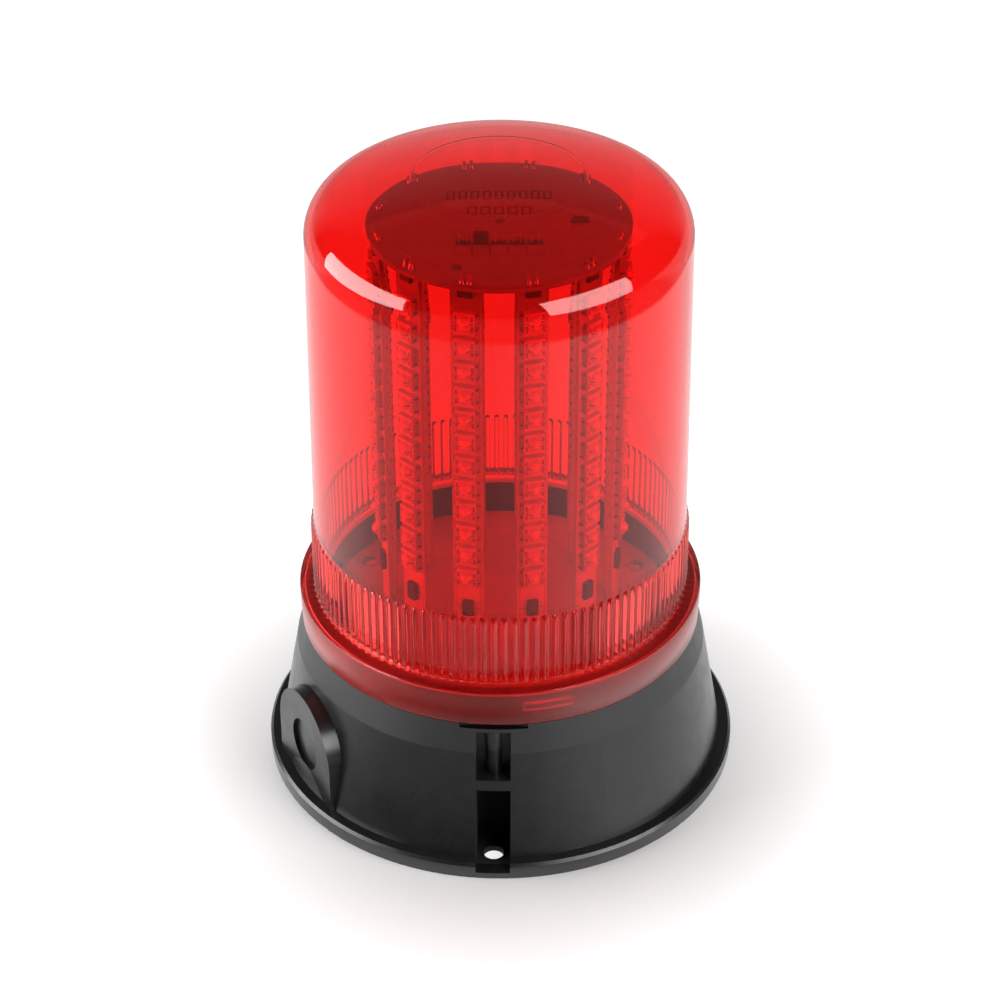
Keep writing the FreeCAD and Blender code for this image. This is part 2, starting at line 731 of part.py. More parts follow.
def make_strip(number):
    """Upright board with two tongues at each end, facing outwards."""
    body = new_body(f"led_strip_{number:02d}")
    sketch = new_sketch(body, "board", "XZ_Plane", STRIP_BACK)
    half = "strip_width / 2"
    inner = "tongue_pitch / 2 - tongue_width / 2"
    outer = "tongue_pitch / 2 + tongue_width / 2"
    foot = "base_board_height"
    head = TOP_BOARD_UNDER
    foot_end = BASE_BOARD_UNDER + " - tongue_proud"
    head_end = "top_board_height + tongue_proud"
    right_side = [
        (inner, foot), (inner, foot_end), (outer, foot_end), (outer, foot), (half, foot),
        (half, head), (outer, head), (outer, head_end), (inner, head_end), (inner, head),
    ]
    left_side = [(minus(x), height) for x, height in reversed(right_side)]
    add_outline(sketch, right_side + left_side)
    pad(body, "board", sketch, "strip_thickness")
    turn_node(body, f"tower_turn + {STRIP_ANGLE} + 360 / strip_count * {number - 1}")


def make_leds(number):
    """Column of lamps on one strip: square bodies with a domed lens."""
    body = new_body(f"leds_{number:02d}")
    sketch = new_sketch(body, "body", "XZ_Plane", "strip_face")
    half = "led_size / 2"
    add_block(sketch, minus(half), half, "led_low - " + half, "led_low + " + half)
    case = pad(body, "body", sketch, "led_body")
    sketch = new_sketch(body, "dome", "YZ_Plane")
    add_led_dome(sketch)
    dome = revolve(body, "dome", sketch, axis="Axis0")
    linear(body, "column", [case, dome], "Z_Axis", "led_pitch", "led_count")
    turn_node(body, f"tower_turn + {STRIP_ANGLE} + 360 / strip_count * {number - 1}")


def add_led_dome(sketch):
    """Half outline of a lamp's dome: an arc from the lamp body to its tip, closed along its axis."""
    tip = ("- strip_face - led_proud", "led_low")
    seat = ("- strip_face - led_body", "led_low")
    middle = ("- strip_face - led_proud + led_dome_radius", "led_low")
    radius = size("led_dome_radius")
    spread = math.acos(size("led_proud - led_body - led_dome_radius") / radius)
    add_axis(sketch, seat, tip)
    centre = FreeCAD.Vector(size(middle[0]), size("led_low"), 0)
    circle = Part.Circle(centre, UPRIGHT, radius)
    arc = sketch.addGeometry(Part.ArcOfCircle(circle, spread, math.pi), False)
    edge = centre + FreeCAD.Vector(math.cos(spread), math.sin(spread), 0) * radius
    places = [FreeCAD.Vector(size(x), size(y), 0) for x, y in (tip, seat)]
    along = sketch.addGeometry(Part.LineSegment(*places), False)
    across = sketch.addGeometry(Part.LineSegment(places[1], edge), False)
    fix_point(sketch, arc, 3, *middle)
    fix_point(sketch, along, 1, *tip)
    fix_point(sketch, along, 2, *seat)
    sketch.addConstraint(Sketcher.Constraint("Coincident", arc, 2, along, 1))
    sketch.addConstraint(Sketcher.Constraint("Coincident", along, 2, across, 1))
    sketch.addConstraint(Sketcher.Constraint("Coincident", across, 2, arc, 1))
    sketch.addConstraint(Sketcher.Constraint("Vertical", across))


def make_strip_drivers():
    body = new_body("strip_drivers")
    sketch = new_sketch(body, "case", "XZ_Plane", "strip_face")
    half = "driver_width / 2"
    add_block(sketch, minus(half), half, "driver_low", "driver_low + driver_length")
    case = pad(body, "case", sketch, "driver_depth")
    polar(body, "cases", [case], "strip_count")
    turn_node(body, "tower_turn + " + STRIP_ANGLE)


def make_solder(label, height, base_size, tip_size):
    """Cone of solder round each strip tongue, with the tongue's own gap left in it."""
    body = new_body(label)
    half_pitch = "tongue_pitch / 2"
    head = height + " + solder_height"
    features = []
    for side, x in (("left", minus(half_pitch)), ("right", half_pitch)):
        sketch = new_sketch(body, side, "XZ_Plane", "strip_face - strip_thickness / 2")
        add_axis(sketch, (x, height), (x, head))
        edge = [(f"{x} + {base_size}", height), (f"{x} + {tip_size}", head)]
        add_outline(sketch, [(x, height), *edge, (x, head)])
        features.append(revolve(body, side, sketch, axis="Axis0"))
    doc.recompute()
    sketch = new_sketch(body, "gap", "XY_Plane", height)
    inner = half_pitch + " - tongue_width / 2"
    outer = half_pitch + " + tongue_width / 2"
    for left, right in ((inner, outer), (minus(outer), minus(inner))):
        add_block(sketch, left, right, minus("strip_face"), minus(STRIP_BACK))
    features.append(pocket(body, "gap", sketch, "solder_height", up=True))
    polar(body, "joints", features, "strip_count")
    turn_node(body, "tower_turn + " + STRIP_ANGLE)


def add_pin_pair(sketch, x, play):
    """Two squares, side by side, for the pins of one place of the mode row."""
    half = "pin_size / 2" + play
    less = half.replace("+", "-")
    along = ["- header_distance - " + less, "- header_distance + " + half]
    for sign in ("-", "+"):
        middle = f"{x} {sign} pin_pitch / 2"
        add_block(sketch, f"{middle} - {less}", f"{middle} + {half}", *along)


FIRST_PLACE = "header_pitch / 2 - header_pitch * header_count / 2"


def make_top_board():
    body = new_body("top_board")
    sketch = new_sketch(body, "disc", "XY_Plane", TOP_BOARD_UNDER)
    add_circle(sketch, "0", "0", "top_board_radius")
    pad(body, "disc", sketch, "board_thickness")
    sketch = new_sketch(body, "pin_hole", "XY_Plane", "top_board_height")
    add_pin_pair(sketch, FIRST_PLACE, "")
    holes = pocket(body, "pin_hole", sketch, "board_thickness")
    linear(body, "pin_holes", [holes], "X_Axis", "header_pitch", "header_count")
    add_tongue_slots(body, STRIP_ANGLE, "top_board_height")
    turn_node(body, "tower_turn")


def add_header_outline(sketch, x):
    half = "header_width / 2"
    low = "- header_distance - header_length / 2"
    high = "- header_distance + header_length / 2"
    add_block(sketch, x + " - " + half, x + " + " + half, low, high)


def make_mode_header():
    """Row of pin carriers; their pins are a piece of their own."""
    body = new_body("mode_header")
    sketch = new_sketch(body, "carrier", "XY_Plane", "top_board_height")
    add_header_outline(sketch, FIRST_PLACE)
    carrier = pad(body, "carrier", sketch, "header_height")
    sketch = new_sketch(body, "hole", "XY_Plane", HEADER_TOP)
    add_pin_pair(sketch, FIRST_PLACE, "")
    hole = pocket(body, "hole", sketch, "header_height")
    linear(body, "row", [carrier, hole], "X_Axis", "header_pitch", "header_count")
    turn_node(body, "tower_turn")

    body = new_body("mode_header_pins")
    sketch = new_sketch(body, "pair", "XY_Plane", TOP_BOARD_UNDER + " - pin_tail")
    add_pin_pair(sketch, FIRST_PLACE, "")
    length = "pin_tail + board_thickness + header_height + pin_height"
    pair = pad(body, "pair", sketch, length)
    linear(body, "row", [pair], "X_Axis", "header_pitch", "header_count")
    turn_node(body, "tower_turn")


def make_mode_link():
    """Loose link that bridges the pins of the second place."""
    body = new_body("mode_link")
    place = FIRST_PLACE + " + header_pitch"
    sketch = new_sketch(body, "case", "XY_Plane", HEADER_TOP + " + link_gap")
    add_header_outline(sketch, place)
    pad(body, "case", sketch, "link_height")
    doc.recompute()
    sketch = new_sketch(body, "socket", "XY_Plane", HEADER_TOP + " + link_gap")
    add_pin_pair(sketch, place, " + link_play")
    pocket(body, "socket", sketch, "pin_height", up=True)
    turn_node(body, "tower_turn")


def make_controller():
    """Chip under the top board, with its leads against the board."""
    body = new_body("controller_chip")
    sketch = new_sketch(body, "case", "XY_Plane", TOP_BOARD_UNDER)
    low = "chip_offset - chip_width / 2"
    high = "chip_offset + chip_width / 2"
    add_block(sketch, "- chip_length / 2", "chip_length / 2", low, high)
    case = pad(body, "case", sketch, "chip_height", down=True)
    sketch = new_sketch(body, "lead", "XY_Plane", TOP_BOARD_UNDER)
    first = "chip_lead_pitch / 2 - chip_lead_pitch * chip_lead_count / 2"
    left = first + " - chip_lead_width / 2"
    right = first + " + chip_lead_width / 2"
    add_block(sketch, left, right, low + " - chip_lead_reach", high + " + chip_lead_reach")
    lead = pad(body, "lead", sketch, "chip_lead_height", down=True)
    linear(body, "leads", [lead], "X_Axis", "chip_lead_pitch", "chip_lead_count")
    turn_node(body, "tower_turn")


FIRST_TERMINAL = "terminal_pitch / 2 - terminal_pitch * terminal_count / 2"
TERMINAL_UNDER = BASE_BOARD_UNDER + " - terminal_height"


def make_terminals():
    """Terminal block that hangs from the base board and faces the cable entry."""
    body = new_body("terminal_block")
    sketch = new_sketch(body, "case", "XY_Plane", BASE_BOARD_UNDER)
    left = FIRST_TERMINAL + " - terminal_pitch / 2"
    front = minus("terminal_distance + terminal_depth / 2")
    add_block(sketch, left, minus(left), front, minus("terminal_distance - terminal_depth / 2"))
    pad(body, "case", sketch, "terminal_height", down=True)
    doc.recompute()
    sketch = new_sketch(body, "port", "XZ_Plane", "terminal_distance + terminal_depth / 2")
    half = "terminal_port / 2"
    middle = BASE_BOARD_UNDER + " - terminal_height / 2"
    across = [FIRST_TERMINAL + " - " + half, FIRST_TERMINAL + " + " + half]
    add_block(sketch, *across, middle + " - " + half, middle + " + " + half)
    port = pocket(body, "port", sketch, "terminal_port_depth")
    sketch = new_sketch(body, "well", "XY_Plane", TERMINAL_UNDER)
    add_circle(sketch, FIRST_TERMINAL, "- terminal_distance", "terminal_well_radius")
    well = pocket(body, "well", sketch, "terminal_well_depth", up=True)
    linear(body, "ways", [port, well], "X_Axis", "terminal_pitch", "terminal_count")
    turn_node(body, "entry_turn", -UPRIGHT)

    body = new_body("terminal_screws")
    sketch = new_sketch(body, "head", "XY_Plane", TERMINAL_UNDER + " + terminal_well_depth")
    add_circle(sketch, FIRST_TERMINAL, "- terminal_distance", "terminal_screw_radius")
    head = pad(body, "head", sketch, "terminal_screw_height", down=True)
    doc.recompute()
    face = TERMINAL_UNDER + " + terminal_well_depth - terminal_screw_height"
    sketch = new_sketch(body, "slot", "XY_Plane", face)
    half = "screw_slot_width / 2"
    across = [FIRST_TERMINAL + " - terminal_screw_radius", FIRST_TERMINAL + " + terminal_screw_radius"]
    add_block(sketch, *across, "- terminal_distance - " + half, "- terminal_distance + " + half)
    slot = pocket(body, "slot", sketch, "screw_slot_width", up=True)
    linear(body, "row", [head, slot], "X_Axis", "terminal_pitch", "terminal_count")
    turn_node(body, "entry_turn", -UPRIGHT)


def make_capacitors():
    """Two cans that hang from the base board."""
    body = new_body("smoothing_capacitors")
    sketch = new_sketch(body, "can", "XY_Plane", BASE_BOARD_UNDER)
    add_circle(sketch, "- capacitor_spread", "capacitor_distance", "capacitor_radius - capacitor_edge")
    can = pad(body, "can", sketch, "capacitor_length", down=True)
    sketch = new_sketch(body, "sleeve", "XY_Plane", BASE_BOARD_UNDER + " - capacitor_edge")
    add_circle(sketch, "- capacitor_spread", "capacitor_distance", "capacitor_radius")
    sleeve = pad(body, "sleeve", sketch, "capacitor_length - capacitor_edge - capacitor_edge", down=True)
    linear(body, "pair", [can, sleeve], "X_Axis", "capacitor_spread * 2", "2")


def make_rectifier():
    """Flat block with one cut corner, standing under the base board."""
    body = new_body("bridge_rectifier")
    middle = "rectifier_across"
    left = middle + " - rectifier_width / 2"
    right = middle + " + rectifier_width / 2"
    foot = BASE_BOARD_UNDER + " - rectifier_height"
    sketch = new_sketch(body, "case", "XZ_Plane", "rectifier_distance")
    add_outline(sketch, [
        (left, foot),
        (right + " - rectifier_corner", foot),
        (right, foot + " + rectifier_corner"),
        (right, BASE_BOARD_UNDER),
        (left, BASE_BOARD_UNDER),
    ])
    pad(body, "case", sketch, "rectifier_depth")


def make_transformer():
    """Ferrite core across a wound bobbin."""
    body = new_body("supply_transformer")
    middle = "- transformer_across"
    back = "- transformer_distance"
    for part in ("core", "coil"):
        sketch = new_sketch(body, part, "XY_Plane", BASE_BOARD_UNDER)
        across = [f"{middle} - {part}_width / 2", f"{middle} + {part}_width / 2"]
        along = [f"{back} - {part}_depth / 2", f"{back} + {part}_depth / 2"]
        add_block(sketch, *across, *along)
        pad(body, part, sketch, f"{part}_height", down=True)


def check_document():
    """Stop before writing when any object failed or any piece has no sound shape."""
    doc.recompute()
    for item in doc.Objects:
        if "Invalid" in item.State or "Error" in item.State:
            raise RuntimeError(f"{item.Name}: {item.State}")
    for node in nodes:
        if node.Shape.isNull() or not node.Shape.isValid():
            raise RuntimeError(f"{node.Label} has no valid shape")


make_housing()
make_gasket()
make_base_board()
make_board_screws()
for strip_number in range(1, int(sheet.strip_count) + 1):
    make_strip(strip_number)
    make_leds(strip_number)
make_strip_drivers()
make_top_board()
make_solder("solder_top", "top_board_height", "solder_radius", "solder_tip")
make_solder("solder_bottom", BASE_BOARD_UNDER + " - solder_height", "solder_tip", "solder_radius")
make_mode_header()
make_mode_link()
make_controller()
make_terminals()
make_capacitors()
make_rectifier()
make_transformer()
make_seal()
make_lens()
check_document()

os.makedirs("parts", exist_ok=True)
for node in nodes:
    node.Shape.exportStep(f"parts/{node.Label}.step")
    box = node.Shape.BoundBox
    print(f"{node.Label}: {len(node.Shape.Solids)} solids, volume {node.Shape.Volume:.1f}, "
          f"z {box.ZMin:.2f} to {box.ZMax:.2f}")
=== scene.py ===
import math
import bpy
import numpy as np
from mathutils import Matrix


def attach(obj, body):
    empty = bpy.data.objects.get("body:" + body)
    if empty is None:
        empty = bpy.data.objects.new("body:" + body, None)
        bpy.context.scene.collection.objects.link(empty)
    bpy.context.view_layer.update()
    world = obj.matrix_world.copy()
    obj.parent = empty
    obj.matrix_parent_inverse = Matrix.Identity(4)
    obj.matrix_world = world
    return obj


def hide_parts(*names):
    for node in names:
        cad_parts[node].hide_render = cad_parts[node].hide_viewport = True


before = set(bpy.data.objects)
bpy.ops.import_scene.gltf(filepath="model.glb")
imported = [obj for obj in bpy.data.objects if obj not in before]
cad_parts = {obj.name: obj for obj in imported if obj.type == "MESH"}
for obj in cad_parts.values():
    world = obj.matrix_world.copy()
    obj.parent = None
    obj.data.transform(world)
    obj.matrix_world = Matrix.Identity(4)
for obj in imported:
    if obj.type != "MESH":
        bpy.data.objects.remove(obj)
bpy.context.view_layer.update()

MM = 0.001

# Sizes that finishes and small parts share with the CAD, in millimetres, degrees where an angle
TOWER_TURN = 17.0
TOWER_LEAN = 2.0
STRIP_COUNT = 12
STRIP_FACE = 44.2
STRIP_BACK = 42.6
LED_COUNT = 12
LED_PITCH = 9.6
LED_LOW = 103.8
LED_HALF = 3.8
LED_MIDDLE = 1.5
TOP_BOARD = 223.6
RECESS_COUNT = 3
RECESS_HALF = 6.35
RECESS_FACE = 85.1
RECESS_SLOPE = 0.1765
RECESS_BAR = 34.0
NOTCH_HALF = 12.55
NOTCH_FLOOR = 57.9


def skin(rows, first, last):
    """Points and faces of a closed skin over a grid of points.

    Each row closes on itself, neighbouring rows are joined, and the points first and last close the two ends.
    """
    count, width = rows.shape[:2]
    points = np.vstack([rows.reshape(-1, 3), first, last])
    step = np.arange(width)
    turn = (step + 1) % width
    row = np.arange(count - 1)[:, None] * width
    below = row + width
    quads = np.stack([row + step, row + turn, below + turn, below + step], axis=-1).reshape(-1, 4)
    pole = np.full(width, count * width)
    end = (count - 1) * width
    top = np.stack([pole, turn, step], axis=-1)
    bottom = np.stack([pole + 1, end + step, end + turn], axis=-1)
    return points, outward(points, [quads, top, bottom])


def outward(points, faces):
    """The same faces, turned round if the volume that they enclose comes out negative."""
    halves = [block[:, :3] for block in faces]
    halves += [block[:, [0, 2, 3]] for block in faces if block.shape[1] == 4]
    a, b, c = points[np.vstack(halves)].transpose(1, 0, 2)
    volume = np.einsum("ij,ij->i", a, np.cross(b, c)).sum()
    return faces if volume > 0 else [block[:, ::-1] for block in faces]


def copies(shape, angles, outs, sides, heights):
    """One small shape set at many places: outs from the axis, sides along the tangent, heights up.

    The shape's own points are (side, out, height) in millimetres; each place is a number or an array.
    """
    points, faces = shape
    places = np.broadcast_arrays(np.radians(np.atleast_1d(angles)), outs, sides, heights)
    turn, out, side, high = (values[:, None] for values in places)
    side = side + points[:, 0]
    out = out + points[:, 1]
    x = np.cos(turn) * side + np.sin(turn) * out
    y = np.sin(turn) * side - np.cos(turn) * out
    spots = np.stack([x, y, high + points[:, 2]], axis=-1).reshape(-1, 3)
    starts = len(points) * np.arange(len(turn))[:, None, None]
    return spots, [(starts + block).reshape(-1, block.shape[1]) for block in faces]


def join(*shapes):
    """Several shapes as one."""
    points = np.vstack([shape[0] for shape in shapes])
    starts = np.cumsum([0] + [len(shape[0]) for shape in shapes[:-1]])
    return points, [block + start for shape, start in zip(shapes, starts) for block in shape[1]]


def new_piece(name, shape, body, slot, crease=40.0):
    """Object of a shape in millimetres, with smooth faces and sharp edges past the crease angle."""
    points, faces = shape
    mesh = bpy.data.meshes.new(name)
    mesh.from_pydata((points * MM).tolist(), [], [face for block in faces for face in block.tolist()])
    mesh.shade_smooth()
    mesh.set_sharp_from_angle(angle=math.radians(crease))
    mesh.materials.append(FINISHES[slot])
    piece = bpy.data.objects.new(name, mesh)
    bpy.context.scene.collection.objects.link(piece)
    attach(piece, body)
    return piece


# Nodes that the finishes are made of

def new_finish(name):
    """New node material, its tree and its one principled shader."""
    material = bpy.data.materials.new(name)
    material.use_nodes = True
    tree = material.node_tree
    return material, tree, tree.nodes["Principled BSDF"]


def add(tree, kind, settings=None, values=None, links=None):
    """Node with its settings, its constant inputs and its incoming links."""
    node = tree.nodes.new(kind)
    for key, value in (settings or {}).items():
        setattr(node, key, value)
    for key, value in (values or {}).items():
        node.inputs[key].default_value = value
    for key, source in (links or {}).items():
        tree.links.new(source, node.inputs[key])
    return node


def feed(tree, entry, source):
    """Sets an input to a plain number, or links it to a socket."""
    if isinstance(source, (int, float)):
        entry.default_value = source
    else:
        tree.links.new(source, entry)


def own_place(tree):
    """Object coordinates, in metres in the beacon's own frame."""
    return add(tree, "ShaderNodeTexCoord").outputs["Object"]


def axes(tree, place):
    """The three coordinates of a place."""
    return add(tree, "ShaderNodeSeparateXYZ", links={"Vector": place}).outputs


def noise(tree, place, grain_mm, detail=3.0):
    """Noise whose lumps are about grain_mm across."""
    values = {"Scale": 1.0 / (grain_mm * MM), "Detail": detail, "Roughness": 0.5}
    return add(tree, "ShaderNodeTexNoise", values=values, links={"Vector": place}).outputs["Fac"]


def spread(tree, source, low, high, start=0.3, end=0.7):
    """Number that runs from low to high while the source, by default a noise, runs from start to end."""
    values = {"From Min": start, "From Max": end, "To Min": low, "To Max": high}
    return add(tree, "ShaderNodeMapRange", values=values, links={"Value": source}).outputs["Result"]


def clouds(tree, place, grain_mm, low, high):
    """Colour that wanders between low and high in soft clouds."""
    share = spread(tree, noise(tree, place, grain_mm), 0.0, 1.0)
    ramp = add(tree, "ShaderNodeValToRGB", links={"Fac": share})
    ramp.color_ramp.elements[0].color = (*low, 1)
    ramp.color_ramp.elements[1].color = (*high, 1)
    return ramp.outputs["Color"]


def paint(tree, share, under, over):
    """Colour under, covered by a plain colour over where the share is 1."""
    node = add(tree, "ShaderNodeMix", {"data_type": "RGBA"}, links={"Factor": share})
    tree.links.new(under, node.inputs["A"])
    node.inputs["B"].default_value = (*over, 1)
    return node.outputs["Result"]


def shade(colour, factor):
    """The colour made paler or darker by a factor."""
    return tuple(factor * part for part in colour)


def maths(tree, operation, *terms):
    """Maths node on sockets and plain numbers."""
    node = add(tree, "ShaderNodeMath", {"operation": operation})
    for entry, term in zip(node.inputs, terms):
        feed(tree, entry, term)
    return node.outputs["Value"]


def between(tree, share, low, high):
    """Number that goes from low to high with the share."""
    return maths(tree, "ADD", low, maths(tree, "MULTIPLY", share, maths(tree, "SUBTRACT", high, low)))


def span(tree, u, v):
    """Distance from the middle of a plane: the root of the sum of two squares."""
    squares = maths(tree, "ADD", maths(tree, "POWER", u, 2.0), maths(tree, "POWER", v, 2.0))
    return maths(tree, "SQRT", squares)


def front_angle(tree, parts):
    """Angle about the upright axis, from the front."""
    return maths(tree, "ARCTAN2", parts["X"], maths(tree, "MULTIPLY", parts["Y"], -1.0))


def wrap(tree, source, half):
    """Number that repeats from minus half to half."""
    return maths(tree, "WRAP", source, half, -half)


def near(tree, source, middle_mm, reach_mm):
    """1 where the source lies within reach of the middle, else 0."""
    return maths(tree, "COMPARE", source, middle_mm * MM, reach_mm * MM)


def patch(tree, u, v, u_span, v_span):
    """1 in a rectangle, else 0; each span is a middle and a reach in millimetres."""
    return maths(tree, "MULTIPLY", near(tree, u, *u_span), near(tree, v, *v_span))


def relief(tree, shader, height, depth_mm, strength):
    """Bump of the given depth that follows a height."""
    bump = add(tree, "ShaderNodeBump", values={"Distance": depth_mm * MM}, links={"Height": height})
    feed(tree, bump.inputs["Strength"], strength)
    tree.links.new(bump.outputs["Normal"], shader.inputs["Normal"])


FINE_DETAIL = 2.0
GRAIN_STRENGTH = 0.5
LUMP_GRAINS = 14
CLOUD_GRAINS = 22
GLOSS_WANDER = 0.15
COLOUR_WANDER = 0.12


def rough_and_bump(tree, shader, place, roughness, grain_mm, depth_mm):
    """Roughness that wanders a little over the surface, and a fine moulded grain in relief."""
    lumps = noise(tree, place, grain_mm * LUMP_GRAINS)
    gloss = spread(tree, lumps, roughness * (1 - GLOSS_WANDER), roughness * (1 + GLOSS_WANDER))
    tree.links.new(gloss, shader.inputs["Roughness"])
    relief(tree, shader, noise(tree, place, grain_mm, FINE_DETAIL), depth_mm, GRAIN_STRENGTH)


def plain_finish(name, colour, roughness, metal=0.0, grain_mm=0.4, depth_mm=0.02):
    """Moulded, cast or plated finish: the colour wanders a little, with grain and uneven gloss."""
    material, tree, shader = new_finish(name)
    place = own_place(tree)
    low, high = shade(colour, 1 - COLOUR_WANDER), shade(colour, 1 + COLOUR_WANDER)
    tree.links.new(clouds(tree, place, grain_mm * CLOUD_GRAINS, low, high), shader.inputs["Base Color"])
    shader.inputs["Metallic"].default_value = metal
    rough_and_bump(tree, shader, place, roughness, grain_mm, depth_mm)
    return material


# Housing

BAND_START, BAND_END = 48.2, 48.8
HOUSING_DARK, HOUSING_PALE = (0.0085, 0.0085, 0.009), (0.0125, 0.0125, 0.013)
HOUSING_BAND, RECESS_PAINTED_SHADE = (0.022, 0.022, 0.0225), (0.004, 0.004, 0.004)
HOUSING_SHINE = 0.68
HOUSING_CLOUD, HOUSING_LUMP, HOUSING_GRAIN, HOUSING_DEPTH = 9.0, 6.0, 0.35, 0.02
WALL_ROUGH, BAND_ROUGHER = (0.26, 0.34), 0.14
RECESS_ROUGH, NOTCH_SMOOTH = 0.9, 0.4
WALL_RELIEF, BAND_RELIEF = 0.25, 0.7


def in_recess(tree, parts):
    """1 low in the three fixing recesses, behind the sloping wall, else 0, and the same for their notches."""
    away = span(tree, parts["X"], parts["Y"])
    turn = wrap(tree, front_angle(tree, parts), math.pi / RECESS_COUNT)
    across = maths(tree, "ABSOLUTE", maths(tree, "MULTIPLY", turn, away))
    face = maths(tree, "ADD", RECESS_FACE * MM, maths(tree, "MULTIPLY", parts["Z"], -RECESS_SLOPE))
    behind = maths(tree, "GREATER_THAN", face, away)
    behind = maths(tree, "MULTIPLY", behind, near(tree, across, 0.0, RECESS_HALF))
    recess = maths(tree, "MULTIPLY", behind, maths(tree, "LESS_THAN", parts["Z"], RECESS_BAR * MM))
    high = maths(tree, "GREATER_THAN", parts["Z"], NOTCH_FLOOR * MM)
    return recess, maths(tree, "MULTIPLY", high, near(tree, across, 0.0, NOTCH_HALF))


def housing_finish():
    """Black moulding: a satin lower wall, a finely eroded upper band, dull recesses, and painted shade that
    makes recesses and notches near-black.
    """
    material, tree, shader = new_finish("housing_black")
    place = own_place(tree)
    parts = axes(tree, place)
    band = spread(tree, parts["Z"], 0.0, 1.0, BAND_START * MM, BAND_END * MM)
    recess, notch = in_recess(tree, parts)
    colour = clouds(tree, place, HOUSING_CLOUD, HOUSING_DARK, HOUSING_PALE)
    colour = paint(tree, band, colour, HOUSING_BAND)
    # Painted shade: the fixing recesses and the notches under the collar are painted near-black for the shade
    # that falls in them
    colour = paint(tree, maths(tree, "MAXIMUM", recess, notch), colour, RECESS_PAINTED_SHADE)
    tree.links.new(colour, shader.inputs["Base Color"])
    shader.inputs["Specular IOR Level"].default_value = HOUSING_SHINE
    rough = spread(tree, noise(tree, place, HOUSING_LUMP), *WALL_ROUGH)
    rough = maths(tree, "ADD", rough, spread(tree, band, 0.0, BAND_ROUGHER, 0.0, 1.0))
    rough = maths(tree, "MULTIPLY", rough, spread(tree, notch, 1.0, NOTCH_SMOOTH, 0.0, 1.0))
    rough = maths(tree, "MAXIMUM", rough, maths(tree, "MULTIPLY", recess, RECESS_ROUGH))
    tree.links.new(rough, shader.inputs["Roughness"])
    strength = spread(tree, band, WALL_RELIEF, BAND_RELIEF, 0.0, 1.0)
    relief(tree, shader, noise(tree, place, HOUSING_GRAIN, FINE_DETAIL), HOUSING_DEPTH, strength)
    return material


# Clear lens

LENS_RED, LENS_SHADOW = (0.935, 0.07, 0.062), (0.985, 0.09, 0.08)
LENS_INDEX = 1.53
LENS_LUMP, LENS_ROUGH = 22.0, (0.012, 0.03)
FLOW_GRAIN, FLOW_DETAIL, FLOW_DEPTH, FLOW_STRENGTH = 26.0, 1.0, 0.12, 0.2
COLLAR_START, COLLAR_END = 73.9, 74.3
COLLAR_COAT, COLLAR_ROUGH = 0.7, 0.33


def lens_finish():
    """Clear red moulding that lets the lamps through to what stands inside it; the collar is satin."""
    material, tree, shader = new_finish("lens_red")
    shader.inputs["Base Color"].default_value = (*LENS_RED, 1)
    shader.inputs["Transmission Weight"].default_value = 1.0
    shader.inputs["IOR"].default_value = LENS_INDEX
    place = own_place(tree)
    collar = spread(tree, axes(tree, place)["Z"], 1.0, 0.0, COLLAR_START * MM, COLLAR_END * MM)
    tree.links.new(maths(tree, "MULTIPLY", collar, COLLAR_COAT), shader.inputs["Coat Weight"])
    shader.inputs["Coat Roughness"].default_value = COLLAR_ROUGH
    clear = spread(tree, noise(tree, place, LENS_LUMP), *LENS_ROUGH)
    rough = maths(tree, "MAXIMUM", clear, maths(tree, "MULTIPLY", collar, COLLAR_ROUGH))
    tree.links.new(rough, shader.inputs["Roughness"])
    relief(tree, shader, noise(tree, place, FLOW_GRAIN, FLOW_DETAIL), FLOW_DEPTH, FLOW_STRENGTH)
    tint = add(tree, "ShaderNodeBsdfTransparent", values={"Color": (*LENS_SHADOW, 1)})
    path = add(tree, "ShaderNodeLightPath").outputs
    mix = add(tree, "ShaderNodeMixShader", links={"Fac": path["Is Shadow Ray"]})
    tree.links.new(shader.outputs["BSDF"], mix.inputs[1])
    tree.links.new(tint.outputs["BSDF"], mix.inputs[2])
    tree.links.new(mix.outputs["Shader"], tree.nodes["Material Output"].inputs["Surface"])
    return material


# Lamps and strips; a span is the middle and the reach of a mark, in millimetres from a lamp's middle

RESIN_CLOUD, RESIN_DARK, RESIN_PALE = 5.0, (0.48, 0.46, 0.44), (0.56, 0.54, 0.52)
RESIN_EDGE, LEAD_FRAME, BRIGHT_CUP = (0.36, 0.33, 0.31), (0.24, 0.21, 0.2), (0.58, 0.54, 0.46)
EDGE_SPAN, CUP_SPAN = (LED_HALF, 0.28), (0.0, 1.0)
FRAME_ACROSS, FRAME_ALONG = (2.9, 0.45), (1.8, 1.0)
SLIT_ACROSS, SLIT_ALONG = (0.0, 3.3), (0.0, 0.25)
RESIN_MILK, RESIN_DEPTH = 0.6, 2.5
RESIN_COAT, RESIN_COAT_ROUGH = 0.3, 0.2
STRIP_CLOUD, STRIP_DARK, STRIP_PALE = 8.0, (0.48, 0.48, 0.45), (0.54, 0.54, 0.5)
STRIP_TRACK, STRIP_EDGE, STRIP_HEAD_SHADOW = (0.4, 0.41, 0.36), (0.4, 0.33, 0.2), (0.12, 0.11, 0.1)
TRACK_SPAN, BARE_SPAN = (4.75, 0.3), (6.2, 0.62)
TIE_ACROSS, TIE_ALONG = (2.4, 2.2), (4.6, 0.25)
SHADOW_START, SHADOW_END, SHADOW_SHARE = 207.0, 215.5, 0.75


def strip_place(tree, parts):
    """Distance across the nearest lamp strip, and height from the nearest lamp's middle, in metres."""
    angle = maths(tree, "SUBTRACT", front_angle(tree, parts), math.radians(TOWER_TURN))
    turn = wrap(tree, angle, math.pi / STRIP_COUNT)
    across = maths(tree, "MULTIPLY", turn, (STRIP_FACE + LED_MIDDLE) * MM)
    along = wrap(tree, maths(tree, "SUBTRACT", parts["Z"], LED_LOW * MM), LED_PITCH * MM / 2)
    return maths(tree, "ABSOLUTE", across), maths(tree, "ABSOLUTE", along)


